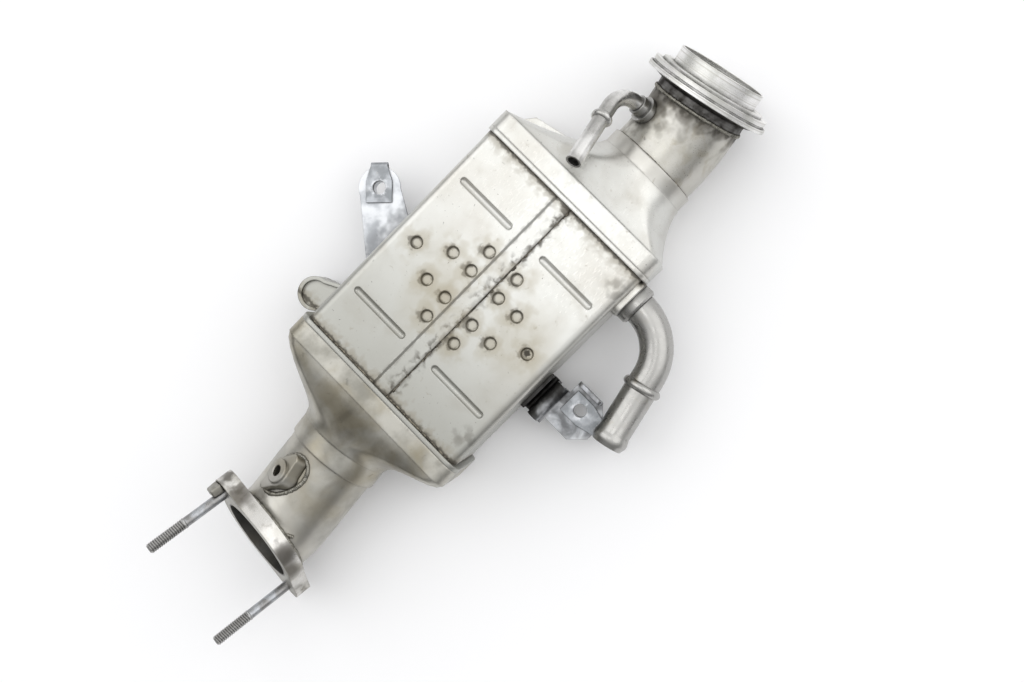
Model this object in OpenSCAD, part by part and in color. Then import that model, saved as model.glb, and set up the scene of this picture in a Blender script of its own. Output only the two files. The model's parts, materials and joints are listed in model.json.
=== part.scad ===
// Plate-and-tube exhaust gas cooler: a brazed two-piece shell with a stack of flat gas tubes,
// a diffuser and neck at each end, two coolant ports, a pressure pipe and three brackets.
// X runs along the shell from the stud flange to the clamp flange, Z points up out of the flat face,
// and the origin is the middle of the stud flange's sealing face.

/* [Shell] */
// Length of the shell between the header plates
shell_l = 132; // [120:1:150]
// Width of the shell across its side walls
shell_w = 107; // [100:1:116]
// Height of the shell across its flat faces
shell_h = 56; // [54:1:62]
// Sheet thickness of the half shells
shell_t = 1.2; // [0.8:0.1:1.6]
// Outer radius of the four long edges
shell_r = 5; // [4:0.5:8]
// Width of the lap joint along the middle of both flat faces
lap_w = 8.6; // [6:0.2:11]
// Length of the joggle beside the lap joint
lap_joggle = 1.8; // [1.2:0.1:2.4]
// How far the coolant inlet chamber bulges out of the side wall
bulge_out = 3; // [2:0.5:4]
// Length of the bulge along the shell
bulge_l = 22; // [20:1:26]

/* [Pressings] */
// Depth of the dimples and beads
press_depth = 1.4; // [0.8:0.1:1.6]
// Diameter of a dimple's flat floor
dimple_d = 5.2; // [4:0.1:6]
// Width of a dimple's sloping wall
dimple_slope = 0.8; // [0.4:0.1:1.2]
// Distance of the inner dimples from the middle of the shell's length
dimple_x = 9.45; // [7:0.05:11]
// Spacing of the dimples in the inner rows
dimple_pitch = 13.05; // [11:0.05:15]
// Distance of the inner dimple rows from the middle line
dimple_inner_y = 9.8; // [9.4:0.1:12]
// Distance of the middle dimples from the middle line
dimple_middle_y = 22.75; // [19:0.25:26]
// Distance of the outer dimples from the side walls
dimple_margin = 13.9; // [11:0.1:16]
// Distance of the beads from the middle of the shell's length
bead_x = 38.5; // [34:0.5:44]
// Width of a bead
bead_w = 4; // [3:0.1:5]
// Distance of a bead's inner end from the middle line
bead_inner_y = 10.1; // [9.5:0.1:14]
// Distance of a bead's outer end from the side wall
bead_margin = 7.4; // [7:0.1:12]

/* [Gas core] */
// Thickness of the header plates
header_t = 2.5; // [2:0.1:4]
// How far the inlet's header plate and skirt stand out past the side walls
inlet_collar_out = 1.5; // [1.2:0.1:3]
// How far the outlet's header plate and skirt stand out past the side walls
outlet_collar_out = 3; // [3:0.1:5]
// How far the header plates stand out past the flat faces
collar_up = 2.5; // [2:0.1:4]
// Corner radius of the header plates and diffuser skirts
collar_r = 8; // [6:0.5:10]
// Height of a flat gas tube
tube_h = 5.6; // [5:0.1:6]
// Wall of a gas tube
tube_t = 0.5; // [0.3:0.1:0.8]
// Coolant gap between the tubes and the side walls
tube_side_gap = 3.2; // [2:0.1:6]
// Sheet thickness of the corrugated fins
fin_t = 0.3; // [0.2:0.05:0.5]
// Length of one fin wave
fin_pitch = 5; // [4:0.5:8]

/* [Diffusers and necks] */
// Sheet thickness of the diffusers
diffuser_t = 1.6; // [1.2:0.1:2]
// Length of the straight skirts
skirt_l = 10; // [8:0.5:14]
// Sheet thickness of the sockets at the diffusers' necks
socket_t = 1.3; // [1:0.1:1.4]
// Step of the cones' ends over the sockets, outside and inside
socket_step = 0.4; // [0.3:0.1:0.8]
// Length of the inlet diffuser's cone
inlet_cone_l = 25; // [20:1:32]
// How late the inlet cone starts to narrow
inlet_shoulder = 1; // [1:0.1:2]
// How soon the inlet cone reaches its socket's width
inlet_waist = 1.6; // [1:0.1:2.4]
// Step of the crease between the inlet's skirt and cone
inlet_crease = 0.8; // [0.2:0.1:1]
// Sideways offset of the inlet neck
inlet_offset = -14.5; // [-18:0.5:0]
// Length of the inlet diffuser's socket
inlet_socket_l = 8; // [6:0.5:12]
// Length of the outlet diffuser's cone
outlet_cone_l = 25.5; // [20:1:32]
// How late the outlet cone starts to narrow
outlet_shoulder = 1.7; // [1:0.1:2]
// How soon the outlet cone reaches its socket's width
outlet_waist = 2.2; // [1:0.1:2.4]
// Step of the crease between the outlet's skirt and cone
outlet_crease = 0.2; // [0.2:0.1:1]
// Sideways offset of the outlet neck
outlet_offset = -2; // [-4:0.5:4]
// Length of the outlet diffuser's socket
outlet_socket_l = 10.8; // [8:0.2:14]
// Outer diameter of the neck pipes
neck_d = 49; // [46:0.5:50]
// Wall of the neck pipes
neck_t = 1.5; // [1.2:0.1:2]
// Straight run of the inlet neck before its bend
inlet_run = 9.9; // [8:0.1:16]
// Bend radius of the inlet neck
inlet_bend_r = 110; // [90:1:130]
// Sideways turn of the inlet neck
inlet_turn = 10.5; // [5:0.5:20]
// Angle at which the inlet neck rises
inlet_rise_angle = 14; // [8:0.2:18]
// Sideways lean of the outlet diffuser's socket
outlet_lean = 6; // [0:1:10]
// Straight run of the outlet elbow before its bend
outlet_run = 48.9; // [44:0.1:56]
// Inside radius of the outlet elbow's bend
outlet_throat = 1.5; // [1:0.5:20]
// Sideways turn of the stud flange
outlet_turn = 5.6; // [1:0.2:8]
// Angle at which the outlet elbow rises
outlet_rise_angle = 28; // [20:1:34]

/* [Clamp flange] */
// Length of the clamp flange's weld neck behind its rims
clamp_neck_l = 7.3; // [5:0.1:12]
// Height of the flare from the weld neck to the rims
clamp_flare = 2.5; // [1:0.5:4]
// Outer diameter of the clamp flange
clamp_d = 68; // [65:0.5:74]
// Thickness of each of the clamp flange's two rims
clamp_rim_t = 2.2; // [1.5:0.1:3]
// Width of the groove between the rims
clamp_groove_w = 1.2; // [0.8:0.1:2]
// Depth of the groove between the rims
clamp_groove_depth = 1.6; // [0.8:0.1:2]
// Diameter of the raised step in front of the rims
clamp_step_d = 58; // [54:0.5:62]
// Height of the raised step
clamp_step_t = 1.6; // [1:0.1:3]
// Outer diameter of the spigot
spigot_d = 47.6; // [46:0.2:50]
// Length of the spigot
spigot_l = 8.5; // [6:0.5:12]

/* [Stud flange] */
// Length of the stud flange's weld neck
flange_neck_l = 0.6; // [0.5:0.1:4]
// Thickness of the stud flange
flange_t = 9; // [7:0.5:12]
// Diameter of the stud flange's round body
flange_d = 58; // [56:0.5:64]
// Distance between the studs
stud_spacing = 65.6; // [62:0.1:74]
// Turn of the stud flange about its bore
flange_roll = 31; // [0:0.5:45]
// Thread diameter of the studs
stud_d = 6; // [5:0.5:8]
// Diameter of the studs' plain shank
shank_d = 5.3; // [4:0.1:5.9]
// Length of the plain shank
shank_l = 25; // [15:1:35]
// Length of the threaded end
thread_l = 22; // [15:1:30]
// Chamfer of the studs' tips
stud_chamfer = 1; // [0.5:0.1:1.5]
// Radius of the ears round the studs
ear_r = 8.5; // [7:0.5:10]

/* [Sensor boss] */
// Distance of the boss from the outlet diffuser along the elbow
boss_along = 29; // [22:1:34]
// Angle of the boss round the elbow, from the top
boss_angle = 26; // [10:1:50]
// Tilt of the boss's face, further round the elbow
boss_tilt = 16; // [0:1:20]
// Turn of the diamond pad from the elbow's run
boss_turn = 20; // [0:1:30]
// Diameter of the boss's round ring
boss_d = 13; // [11:0.5:16]
// Length of the boss's diamond pad
boss_l = 28; // [24:1:34]
// Tip radius of the diamond pad
boss_tip_r = 3; // [2:0.5:4]
// Height of the diamond pad above the elbow
boss_h = 4.5; // [3:0.5:6]
// Height of the round ring above the pad
boss_ring_h = 1.2; // [0.6:0.1:2]
// Bore of the boss
boss_bore_d = 6; // [4:0.5:8]

/* [Coolant ports] */
// Outer diameter of the coolant pipes
hose_d = 17.6; // [15:0.1:17.8]
// Wall of the coolant pipes
hose_t = 1.2; // [0.8:0.1:1.6]
// Distance of the coolant inlet from the end of the shell
coolant_in_end = 10.8; // [10:0.2:12]
// Bend radius of the inlet pipe
coolant_bend_r = 28.7; // [24:0.1:34]
// Heading of the hose end, counted from +X
coolant_heading = 193.4; // [185:0.2:205]
// Straight stretch between the bend and the stop bead
coolant_neck_l = 6; // [4:0.5:10]
// Length of the hose end past the stop bead
hose_end_l = 34.9; // [28:0.1:42]
// Radius of the stop bead
stop_bead_r = 2.4; // [1.6:0.1:3]
// Height of the barb near the tip
barb_h = 0.9; // [0.5:0.1:1.6]
// Length of the barb
barb_l = 8; // [6:0.5:10]
// Length of the barb's level crest
barb_crest_l = 1.6; // [1:0.2:2.4]
// Outer diameter of the root collar
root_collar_d = 22; // [20:0.5:24]
// Height of the root collar
root_collar_h = 5.6; // [3:0.1:7]
// Distance of the outlet pan from the end of the shell
pan_end = 5.7; // [4:0.1:12]
// Distance of the outlet pan's middle from the side wall
pan_out = 11.3; // [11:0.1:14]
// Outer radius of the pan
pan_r = 9.2; // [9.2:0.1:9.6]
// Length of the pan's foot along the side wall
pan_foot_l = 21; // [18:0.5:26]
// Heading of the pan's slanted side, counted from +X
pan_slant = 45; // [35:5:60]
// Width of the window between the pan and the shell
pan_window_w = 9; // [6:0.5:10]
// Sheet thickness of the pan
pan_t = 1.2; // [0.8:0.1:1.4]
// Height of the pan's rim above the middle of the shell
pan_top = 4; // [0:0.5:10]
// Depth of the pan's body
pan_h = 10; // [8:0.5:14]
// Width of the pan's flat rim
pan_rim = 2; // [1.5:0.1:3]
// Depth of the dish inside the rim
pan_dish = 2; // [1:0.1:3]
// Outer diameter of the outlet pipe
coolant_out_d = 15; // [13:0.1:15.4]
// Length of the outlet pipe below the pan
coolant_out_l = 21; // [16:1:22]

/* [Pressure pipe] */
// Outer diameter of the pressure pipe
tap_d = 8; // [6:0.2:10]
// Wall of the pressure pipe
tap_t = 1; // [0.6:0.1:1.4]
// Distance of the pressure pipe along the inlet neck's bend
tap_along = 15.2; // [12:0.1:20]
// Heading of the pressure pipe's root, counted from +X
tap_root_heading = 96; // [90:1:110]
// Angle of the pressure pipe above the neck's side
tap_angle = 39; // [20:1:50]
// Bend radius of the pressure pipe
tap_bend_r = 15.4; // [12:0.2:18]
// Heading of the pressure pipe's open end, counted from +X
tap_heading = 196.3; // [185:0.2:205]
// Angle at which the pressure pipe's open end rises
tap_rise_angle = 29; // [15:1:40]
// Straight stretch between the bend and the stop bead
tap_neck_l = 8.1; // [6:0.1:16]
// Length of the open end past the stop bead
tap_end_l = 29.7; // [22:0.1:34]
// Radius of the pressure pipe's stop bead
tap_bead_r = 2; // [1.2:0.1:2.4]
// Outer diameter of the pressure pipe's root collar
tap_collar_d = 14; // [12:0.5:16]
// Height of the root collar's wide foot
tap_foot_h = 2.5; // [1.5:0.1:4]
// Outer diameter of the root collar's sleeve
tap_sleeve_d = 10.4; // [10.2:0.2:11.6]
// Height of the whole root collar
tap_collar_h = 6.5; // [5:0.1:9]

/* [Brackets] */
// Sheet thickness of the brackets
bracket_t = 2; // [1.6:0.1:2.4]
// Drop of the left bracket's tab below the middle of the shell
left_drop = 6; // [4:0.5:8]
// Drop of the right bracket's tab, which passes under the coolant hose end
right_drop = 12; // [11.5:0.5:13]
// Height of the feet that are welded to the side walls
foot_h = 9; // [6:0.5:10]
// Hole in the side brackets' tabs
tab_hole_d = 9; // [8.4:0.1:10]
// Inside radius of the left bracket's bend
left_bend_r = 4; // [2:0.5:6]
// Half width of the left bracket's tab, which ends in a half circle
left_tab_r = 11.4; // [10:0.2:13]
// Place of the left bracket's hole along the shell
left_hole_x = 2.9; // [-4:0.1:8]
// Distance of the left bracket's hole from the side wall
left_hole_out = 28.1; // [24:0.1:34]
// Place of the left bracket's foot along the shell
left_foot_x = -17.5; // [-24:0.5:0]
// Length of the left bracket's foot along the side wall
left_foot_l = 34; // [26:1:40]
// Heading of the left clip nut, counted from +X
left_clip_heading = 45; // [40:1:80]
// Inside radius of the right bracket's folds
right_fold_r = 1.5; // [1:0.1:2]
// Height of the right bracket's crest above its tab
right_crest_h = 5.5; // [4.5:0.5:8]
// Width of the right bracket's tab on the outlet side of its hole
right_tab_w1 = 16; // [12:0.5:18]
// Width of the right bracket's tab on the inlet side of its hole
right_tab_w2 = 11.5; // [9:0.5:13]
// Length of the right bracket's tab past its hole
right_tab_end = 13.5; // [12:0.5:16]
// Chamfer of the right bracket's corners
right_chamfer = 8; // [4:0.5:9]
// Place of the right bracket's hole along the shell
right_hole_x = -5.1; // [-8:0.1:0]
// Distance of the right bracket's hole from the side wall
right_hole_out = 24.2; // [23:0.2:28]
// Length of the right bracket's folded foot
right_foot_l = 23; // [20:1:28]
// Shift of the folded foot along the shell from the hole
right_foot_shift = -8.5; // [-10:0.5:-4]
// Height of the right bracket's upturned rim
right_rim_h = 5; // [3:0.5:8]
// Length of the right bracket's upturned rim
right_rim_l = 16; // [12:1:18]
// Sheet thickness of the clip nuts
clip_t = 1; // [0.8:0.1:1.4]
// Width of the clip nuts
clip_w = 14; // [13:0.5:16]
// Width of the clip nuts at their fold
clip_fold_w = 9; // [7:0.5:11]
// Length of the clip nuts behind the hole
clip_back = 8; // [6.5:0.5:10]
// Thread diameter of the clip nuts
clip_thread_d = 7.2; // [6:0.1:8]
// Height of the clip nuts' threaded barrel
clip_barrel_h = 5; // [4:0.5:8]
// Wall of the clip nuts' threaded barrel
clip_barrel_t = 2; // [1.5:0.1:3]
// Drop of the rear bracket below the middle of the shell
rear_drop = 16; // [12:1:18]
// How far the rear bracket reaches past the inlet skirt
rear_reach = 13.5; // [12:0.5:18]
// Width of the rear bracket's arm
rear_w = 12; // [10:0.5:14]
// Length of the rear bracket's foot along the skirt
rear_foot_l = 8; // [6:0.5:8]

/* [Hidden] */
$fn = 64;

// Gap left by a fit between two brazed or pressed pieces, and the overshoot of a cut
fit = 0.1;
cut = 1;
tube_n = 6;
ear_flank = 0.96;

// Half sizes of the shell and of the outline shared by the header plates and diffuser skirts
shell_hw = shell_w / 2;
shell_hh = shell_h / 2;
shell_hl = shell_l / 2;
inlet_hw = shell_hw + inlet_collar_out;
outlet_hw = shell_hw + outlet_collar_out;
collar_hh = shell_hh + collar_up;
side_wall = shell_hw + bulge_out;

// Tube stack: equal coolant gaps above, below and between the tubes
inner_h = shell_h - 2 * shell_t;
tube_w = shell_w - 2 * shell_t - 2 * tube_side_gap;
coolant_gap = (inner_h - tube_n * tube_h) / (tube_n + 1);
tube_pitch = tube_h + coolant_gap;
core_hl = shell_hl + header_t;

// Station where each diffuser's skirt ends and its cone begins
cone_x = core_hl + skirt_l;
socket_r = neck_d / 2 + fit;
socket_or = socket_r + socket_t;
cone_stations = 9;
cone_corner_points = 11;

// A heading is a unit vector; turn and lean describe the bend from heading a to heading b
function heading(yaw, rise) = [cos(rise) * cos(yaw), cos(rise) * sin(yaw), sin(rise)];
function unit(v) = v / norm(v);
function turn(a, b) = acos(a * b);
function lean(a, b) = unit(b - (a * b) * a);
function bend_point(p, a, b, r, t) = p + r * sin(t) * a + r * (1 - cos(t)) * lean(a, b);
function bend_end(p, a, b, r) = bend_point(p, a, b, r, turn(a, b));
function arc_angle(l, r) = l / r * 180 / PI;

// Inlet neck: from the diffuser's socket through one bend to the clamp flange
inlet_dir = heading(0, 0);
clamp_dir = heading(inlet_turn, inlet_rise_angle);
inlet_mouth = [cone_x + inlet_cone_l, inlet_offset, 0];
inlet_start = inlet_mouth + fit * inlet_dir;
inlet_bend = inlet_start + inlet_run * inlet_dir;
inlet_end = bend_end(inlet_bend, inlet_dir, clamp_dir, inlet_bend_r);

// Outlet elbow: from the leaning socket through one bend to the stud flange
outlet_dir = heading(180 + outlet_lean, 0);
stud_dir = heading(180 - outlet_turn, outlet_rise_angle);
outlet_mouth = [-cone_x - outlet_cone_l, outlet_offset, 0];
outlet_start = outlet_mouth + fit * outlet_dir;
outlet_bend = outlet_start + outlet_run * outlet_dir;
outlet_bend_r = neck_d / 2 + outlet_throat;
outlet_end = bend_end(outlet_bend, outlet_dir, stud_dir, outlet_bend_r);

// The stud flange's sealing face, and the bore that both flanges carry on
flange_face = outlet_end + (fit + flange_neck_l + flange_t) * stud_dir;
gas_bore_d = neck_d - 2 * neck_t;
stud_places = [[-stud_spacing / 2, 0], [stud_spacing / 2, 0]];

// Sensor boss on the elbow's straight run: its seat on the elbow, and the ways its face and pad point
function round_elbow(a) = cos(a) * [0, 0, 1] + sin(a) * cross(outlet_dir, [0, 0, 1]);
boss_seat = outlet_mouth + boss_along * outlet_dir + neck_d / 2 * round_elbow(boss_angle);
boss_dir = round_elbow(boss_angle + boss_tilt);
boss_long_dir = cos(boss_turn) * outlet_dir + sin(boss_turn) * cross(outlet_dir, boss_dir);

// Coolant inlet: a root collar square to the side wall, then a bend to the level hose end
coolant_root = [shell_hl - coolant_in_end, -side_wall, 0];
coolant_root_dir = heading(-90, 0);
hose_dir = heading(coolant_heading, 0);
coolant_bend = coolant_root + (root_collar_h + 2 * fit) * coolant_root_dir;
coolant_bend_end = bend_end(coolant_bend, coolant_root_dir, hose_dir, coolant_bend_r);
stop_bead = coolant_bend_end + coolant_neck_l * hose_dir;
hose_bore_r = hose_d / 2 - hose_t;

// Coolant outlet pan beside the outlet end, with its pipe pointing down
pan_centre = [-shell_hl + pan_end, shell_hw + pan_out];
pan_floor = pan_top - pan_h;
pan_foot_x = -shell_hl + fit;
pan_room_h = pan_h - pan_dish - 2 * pan_t;
pan_window_h = pan_room_h - pan_t;

// Pressure pipe: a root collar on the side of the inlet neck, a bend and a rising open end
tap_out_dir = heading(tap_root_heading, tap_angle);
tap_end_dir = heading(tap_heading, tap_rise_angle);
tap_arc = arc_angle(tap_along, inlet_bend_r);
tap_axis = bend_point(inlet_bend, inlet_dir, clamp_dir, inlet_bend_r, tap_arc);
tap_bend = tap_axis + (neck_d / 2 + tap_collar_h + fit) * tap_out_dir;
tap_straight = tap_neck_l + tap_end_l;
tap_tip = bend_end(tap_bend, tap_out_dir, tap_end_dir, tap_bend_r) + tap_straight * tap_end_dir;
tap_bore_d = tap_d - 2 * tap_t;

// Middles of the side brackets' holes, on the tabs' upper faces
left_hole = [left_hole_x, shell_hw + left_hole_out, -left_drop];
right_hole = [right_hole_x, -shell_hw - right_hole_out, -right_drop];

// Puts a shape modelled about the shell's middle into the part's frame
module in_frame() {
    translate(-flange_face) children();
}

// Places a shape at o with its x and y axes along two square unit vectors
module place(o, x, y) {
    z = cross(x, y);
    multmatrix([[x.x, y.x, z.x, o.x], [x.y, y.y, z.y, o.y], [x.z, y.z, z.z, o.z], [0, 0, 0, 1]])
        children();
}

// Places a shape at p with its z axis along heading a and its y axis as near upright as it can be
module at_heading(p, a) {
    up = unit([0, 0, 1] - a.z * a);
    place(p, cross(up, a), up) children();
}

// Sweeps a flat section from p along a straight run in heading a and then one bend to heading b.
// A second child is placed at p, with its z axis pointing back, away from the run
module bent_sweep(p, a, b, run, r) {
    n = lean(a, b);
    place(p + run * a + r * n, -n, a) {
        rotate_extrude(angle = turn(a, b)) translate([r, 0]) children(0);
        translate([r, 0, 0]) rotate([90, 0, 0]) {
            linear_extrude(run) children(0);
            if ($children > 1) translate([0, 0, run]) children(1);
        }
    }
}

module ring(d, t) {
    difference() {
        circle(d = d);
        circle(d = d - 2 * t);
    }
}

module rounded_rect(hw, hh, r) {
    square([2 * hw, 2 * (hh - r)], center = true);
    square([2 * (hw - r), 2 * hh], center = true);
    for (sx = [-1, 1], sy = [-1, 1])
        translate([sx * (hw - r), sy * (hh - r)]) circle(r = r);
}

module rounded_ring(hw, hh, r, t) {
    difference() {
        rounded_rect(hw, hh, r);
        rounded_rect(hw - t, hh - t, r - t);
    }
}

// Extrudes a flat shape drawn in Y and Z along X, from x0 over length l
module along_x(x0, l) {
    translate([x0, 0, 0]) rotate([90, 0, 90]) linear_extrude(l) children();
}

// Shell

// Places of the dimples on one half of a flat face, on the side of sign s
function dimple_places(s) = concat(
    [for (sx = [-1, 1], k = [0, 1]) [sx * (dimple_x + k * dimple_pitch), s * dimple_inner_y]],
    [for (sx = [-1, 1]) [sx * dimple_x, s * dimple_middle_y]],
    [[0, s * (shell_hw - dimple_margin)]]);

// Pressed form of one half's dimples and beads; grow is the sheet thickness for the inner side
module pressings(s, grow) {
    bead_r = (bead_w * bead_w / 4 + press_depth * press_depth) / (2 * press_depth);
    bead_z = shell_hh - press_depth + bead_r;
    bead_ends = [bead_inner_y + bead_w / 2, shell_hw - bead_margin - bead_w / 2];
    for (flip = [0, 1]) mirror([0, 0, flip]) {
        for (p = dimple_places(s))
            translate([p.x, p.y, shell_hh - press_depth - grow])
                cylinder(d1 = dimple_d + 2 * grow, d2 = dimple_d + 2 * grow + 2 * dimple_slope,
                    h = press_depth + (grow > 0 ? grow - shell_t / 2 : 0));
        for (sx = [-1, 1]) {
            translate([sx * bead_x, s * bead_ends[0], bead_z])
                rotate([-90 * s, 0, 0]) cylinder(r = bead_r + grow, h = bead_ends[1] - bead_ends[0]);
            for (y = bead_ends)
                translate([sx * bead_x, s * y, bead_z]) sphere(r = bead_r + grow);
        }
    }
}

// One U-shaped half before its pressings: the wall on the side of sign s
module half_wall(s) {
    along_x(-shell_hl, shell_l) intersection() {
        rounded_ring(shell_hw, shell_hh, shell_r, shell_t);
        translate([s > 0 ? lap_w / 2 + fit : -shell_w, -shell_h])
            square([shell_w + (s > 0 ? 0 : lap_w / 2), 2 * shell_h]);
    }
}

// Sheet with its dimples and beads pressed in
module pressed_half(s) {
    difference() {
        union() {
            half_wall(s);
            intersection() {
                pressings(s, shell_t);
                cube([shell_l, shell_w, shell_h - shell_t], center = true);
            }
        }
        pressings(s, 0);
    }
}

// Raised strip of the left half that laps over the right half
module lap_strip() {
    half = lap_w / 2;
    foot = half + lap_joggle;
    top = shell_hh + fit;
    along_x(-shell_hl, shell_l) for (flip = [0, 1]) mirror([0, flip])
        polygon([[-half, top], [-half, top + shell_t], [half, top + shell_t], [foot, shell_hh],
            [foot, shell_hh - shell_t], [half + fit, shell_hh - shell_t], [half + fit, top]]);
}

module left_half_shell() {
    color("gainsboro") in_frame() difference() {
        union() {
            pressed_half(1);
            lap_strip();
        }
        translate([pan_foot_x + pan_foot_l / 2, shell_hw, pan_floor + pan_t + pan_window_h / 2])
            cube([pan_window_w, 4 * shell_t, pan_window_h], center = true);
    }
}

// Pressed-out chamber in the right side wall, open towards the tubes
module inlet_bulge(out, inset) {
    r = shell_r - inset;
    hh = shell_hh - shell_r - inset;
    translate([shell_hl - bulge_l / 2, 0, 0]) rotate([90, 0, 0])
        linear_extrude(shell_hw + out) rounded_rect(bulge_l / 2 - inset, hh, r);
}

module right_half_shell() {
    color("gainsboro") in_frame() difference() {
        union() {
            pressed_half(-1);
            difference() {
                inlet_bulge(bulge_out, 0);
                translate([0, -shell_hw + shell_t, 0])
                    translate([-shell_l, 0, -shell_h]) cube([2 * shell_l, shell_w, 2 * shell_h]);
            }
        }
        inlet_bulge(bulge_out - shell_t, shell_t);
        at_heading(coolant_root, coolant_root_dir)
            translate([0, 0, -2 * shell_t]) cylinder(d = hose_d + 2 * fit, h = 4 * shell_t);
    }
}

// Gas core

// Height of tube i above the shell's middle, counted from the bottom
function tube_z(i) = (i - (tube_n + 1) / 2) * tube_pitch;

module flat_oval(w, h) {
    square([w - h, h], center = true);
    for (s = [-1, 1]) translate([s * (w - h) / 2, 0]) circle(d = h);
}

module header_plate(x0, hw) {
    along_x(x0, header_t) difference() {
        rounded_rect(hw, collar_hh, collar_r);
        for (i = [1:tube_n]) translate([0, tube_z(i)]) flat_oval(tube_w + 2 * fit, tube_h + 2 * fit);
    }
}

module inlet_header_plate() {
    color("silver") in_frame() header_plate(shell_hl, inlet_hw);
}

module outlet_header_plate() {
    color("silver") in_frame() header_plate(-core_hl, outlet_hw);
}

module gas_tube(i) {
    color("lightsteelblue") in_frame() along_x(-core_hl, 2 * core_hl)
        translate([0, tube_z(i)]) difference() {
            flat_oval(tube_w, tube_h);
            flat_oval(tube_w - 2 * tube_t, tube_h - 2 * tube_t);
        }
}

// Square wave folded from one strip, which touches the tube's two flat walls
module gas_fin(i) {
    waves = floor((tube_w - tube_h) / fin_pitch);
    hh = tube_h / 2 - tube_t;
    x0 = -waves * fin_pitch / 2;
    half = fin_pitch / 2;
    color("lightsteelblue") in_frame() along_x(-shell_hl, shell_l) translate([0, tube_z(i)])
        for (k = [0:waves - 1]) translate([x0 + k * fin_pitch, 0]) {
            translate([0, hh - fin_t]) square([half + fin_t, fin_t]);
            translate([half, -hh]) square([half + fin_t, fin_t]);
            translate([0, -hh]) square([fin_t, 2 * hh]);
            translate([half, -hh]) square([fin_t, 2 * hh]);
        }
}

// Diffusers

// Points of a rounded rectangle and of a circle, matched corner by corner
function corner_angles() = [for (k = [0:3], j = [0:cone_corner_points - 1])
    90 * k + (j + 0.5) * 90 / cone_corner_points];
function corner_sign(v) = v > 0 ? 1 : -1;
function box_point(a, hw, hh, r) =
    [corner_sign(cos(a)) * (hw - r) + r * cos(a), corner_sign(sin(a)) * (hh - r) + r * sin(a)];

// One ring of a cone that blends from the skirt's outline (w = 0) to a circle (w = 1)
function cone_ring(x, hw, w, inset, step, offset, yaw) = [for (a = corner_angles())
    let (end_r = inset > 0 ? socket_r - socket_step : socket_or + socket_step,
        p = (1 - w) * box_point(a, hw - step - inset, collar_hh - step - inset, collar_r - inset)
            + w * end_r * [cos(a), sin(a)])
    [x - p.x * sin(yaw * w), offset * w + p.x * cos(yaw * w), p.y]];

// Hollow cone from outer and inner rings; shoulder and waist shape its sides
module cone(hw, l, offset, yaw, step, shoulder, waist) {
    points_per_ring = 4 * cone_corner_points;
    blend = [for (i = [0:cone_stations]) 1 - pow(1 - pow(i / cone_stations, shoulder), waist)];
    rings = [for (side = [0, 1], i = [0:cone_stations])
        cone_ring(cone_x + l * i / cone_stations, hw, blend[i], side * diffuser_t, step, offset, yaw)];
    count = len(rings);
    function at(i, j) = i * points_per_ring + j % points_per_ring;
    function strip(i0, i1) = [for (j = [0:points_per_ring - 1], half = [0, 1])
        half == 0 ? [at(i0, j), at(i1, j), at(i1, j + 1)] : [at(i0, j), at(i1, j + 1), at(i0, j + 1)]];
    polyhedron(points = [for (ring = rings, p = ring) p], faces = concat(
        [for (i = [0:cone_stations - 1], f = strip(i, i + 1)) f],
        [for (i = [cone_stations + 1:count - 2], f = strip(i + 1, i)) f],
        strip(cone_stations + 1, 0),
        strip(cone_stations, count - 1)));
}

// Skirt, cone and socket of one diffuser, modelled towards +X. The socket is rooted in the cone's wall
module diffuser(hw, l, offset, yaw, socket_l, step, shoulder, waist) {
    along_x(core_hl, skirt_l) rounded_ring(hw, collar_hh, collar_r, diffuser_t);
    cone(hw, l, offset, yaw, step, shoulder, waist);
    root_l = cut / 2;
    at_heading([cone_x + l, offset, 0] - root_l * heading(yaw, 0), heading(yaw, 0))
        linear_extrude(socket_l + root_l) ring(2 * socket_or, socket_t);
}

module inlet_diffuser() {
    color("whitesmoke") in_frame() diffuser(inlet_hw, inlet_cone_l, inlet_offset, 0, inlet_socket_l,
        inlet_crease, inlet_shoulder, inlet_waist);
}

module outlet_diffuser() {
    color("darkgray") in_frame() mirror([1, 0, 0]) diffuser(outlet_hw, outlet_cone_l, outlet_offset,
        -outlet_lean, outlet_socket_l, outlet_crease, outlet_shoulder, outlet_waist);
}

// Inlet neck

module inlet_neck_pipe() {
    color("silver") in_frame() difference() {
        bent_sweep(inlet_start, inlet_dir, clamp_dir, inlet_run, inlet_bend_r) ring(neck_d, neck_t);
        at_heading(tap_axis, tap_out_dir) cylinder(d = tap_bore_d, h = neck_d);
    }
}

// Turned flange for a clamp band, with a weld neck behind its rims and a spigot in front
module clamp_flange() {
    bore_r = gas_bore_d / 2;
    rim_r = clamp_d / 2;
    groove_r = rim_r - clamp_groove_depth;
    rim_1 = clamp_neck_l;
    rim_2 = rim_1 + clamp_rim_t;
    rim_3 = rim_2 + clamp_groove_w;
    rim_4 = rim_3 + clamp_rim_t;
    face = rim_4 + clamp_step_t;
    lip = face + spigot_l;
    color("gainsboro") in_frame() at_heading(inlet_end + fit * clamp_dir, clamp_dir) rotate_extrude()
        polygon([[bore_r, 0], [neck_d / 2, 0], [neck_d / 2, rim_1 - clamp_flare], [groove_r, rim_1],
            [rim_r, rim_1], [rim_r, rim_2], [groove_r, rim_2], [groove_r, rim_3],
            [rim_r - clamp_groove_w, rim_3], [rim_r - clamp_groove_w, rim_4],
            [clamp_step_d / 2, rim_4], [clamp_step_d / 2, face], [spigot_d / 2, face], [spigot_d / 2, lip],
            [bore_r, lip]]);
}

// Outlet elbow and stud flange

module elbow_bore() {
    at_heading(boss_seat - 2 * boss_h * boss_dir, boss_dir) cylinder(d = boss_bore_d, h = neck_d);
}

module outlet_elbow() {
    color("darkgray") in_frame() difference() {
        bent_sweep(outlet_start, outlet_dir, stud_dir, outlet_run, outlet_bend_r) ring(neck_d, neck_t);
        elbow_bore();
    }
}

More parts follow.
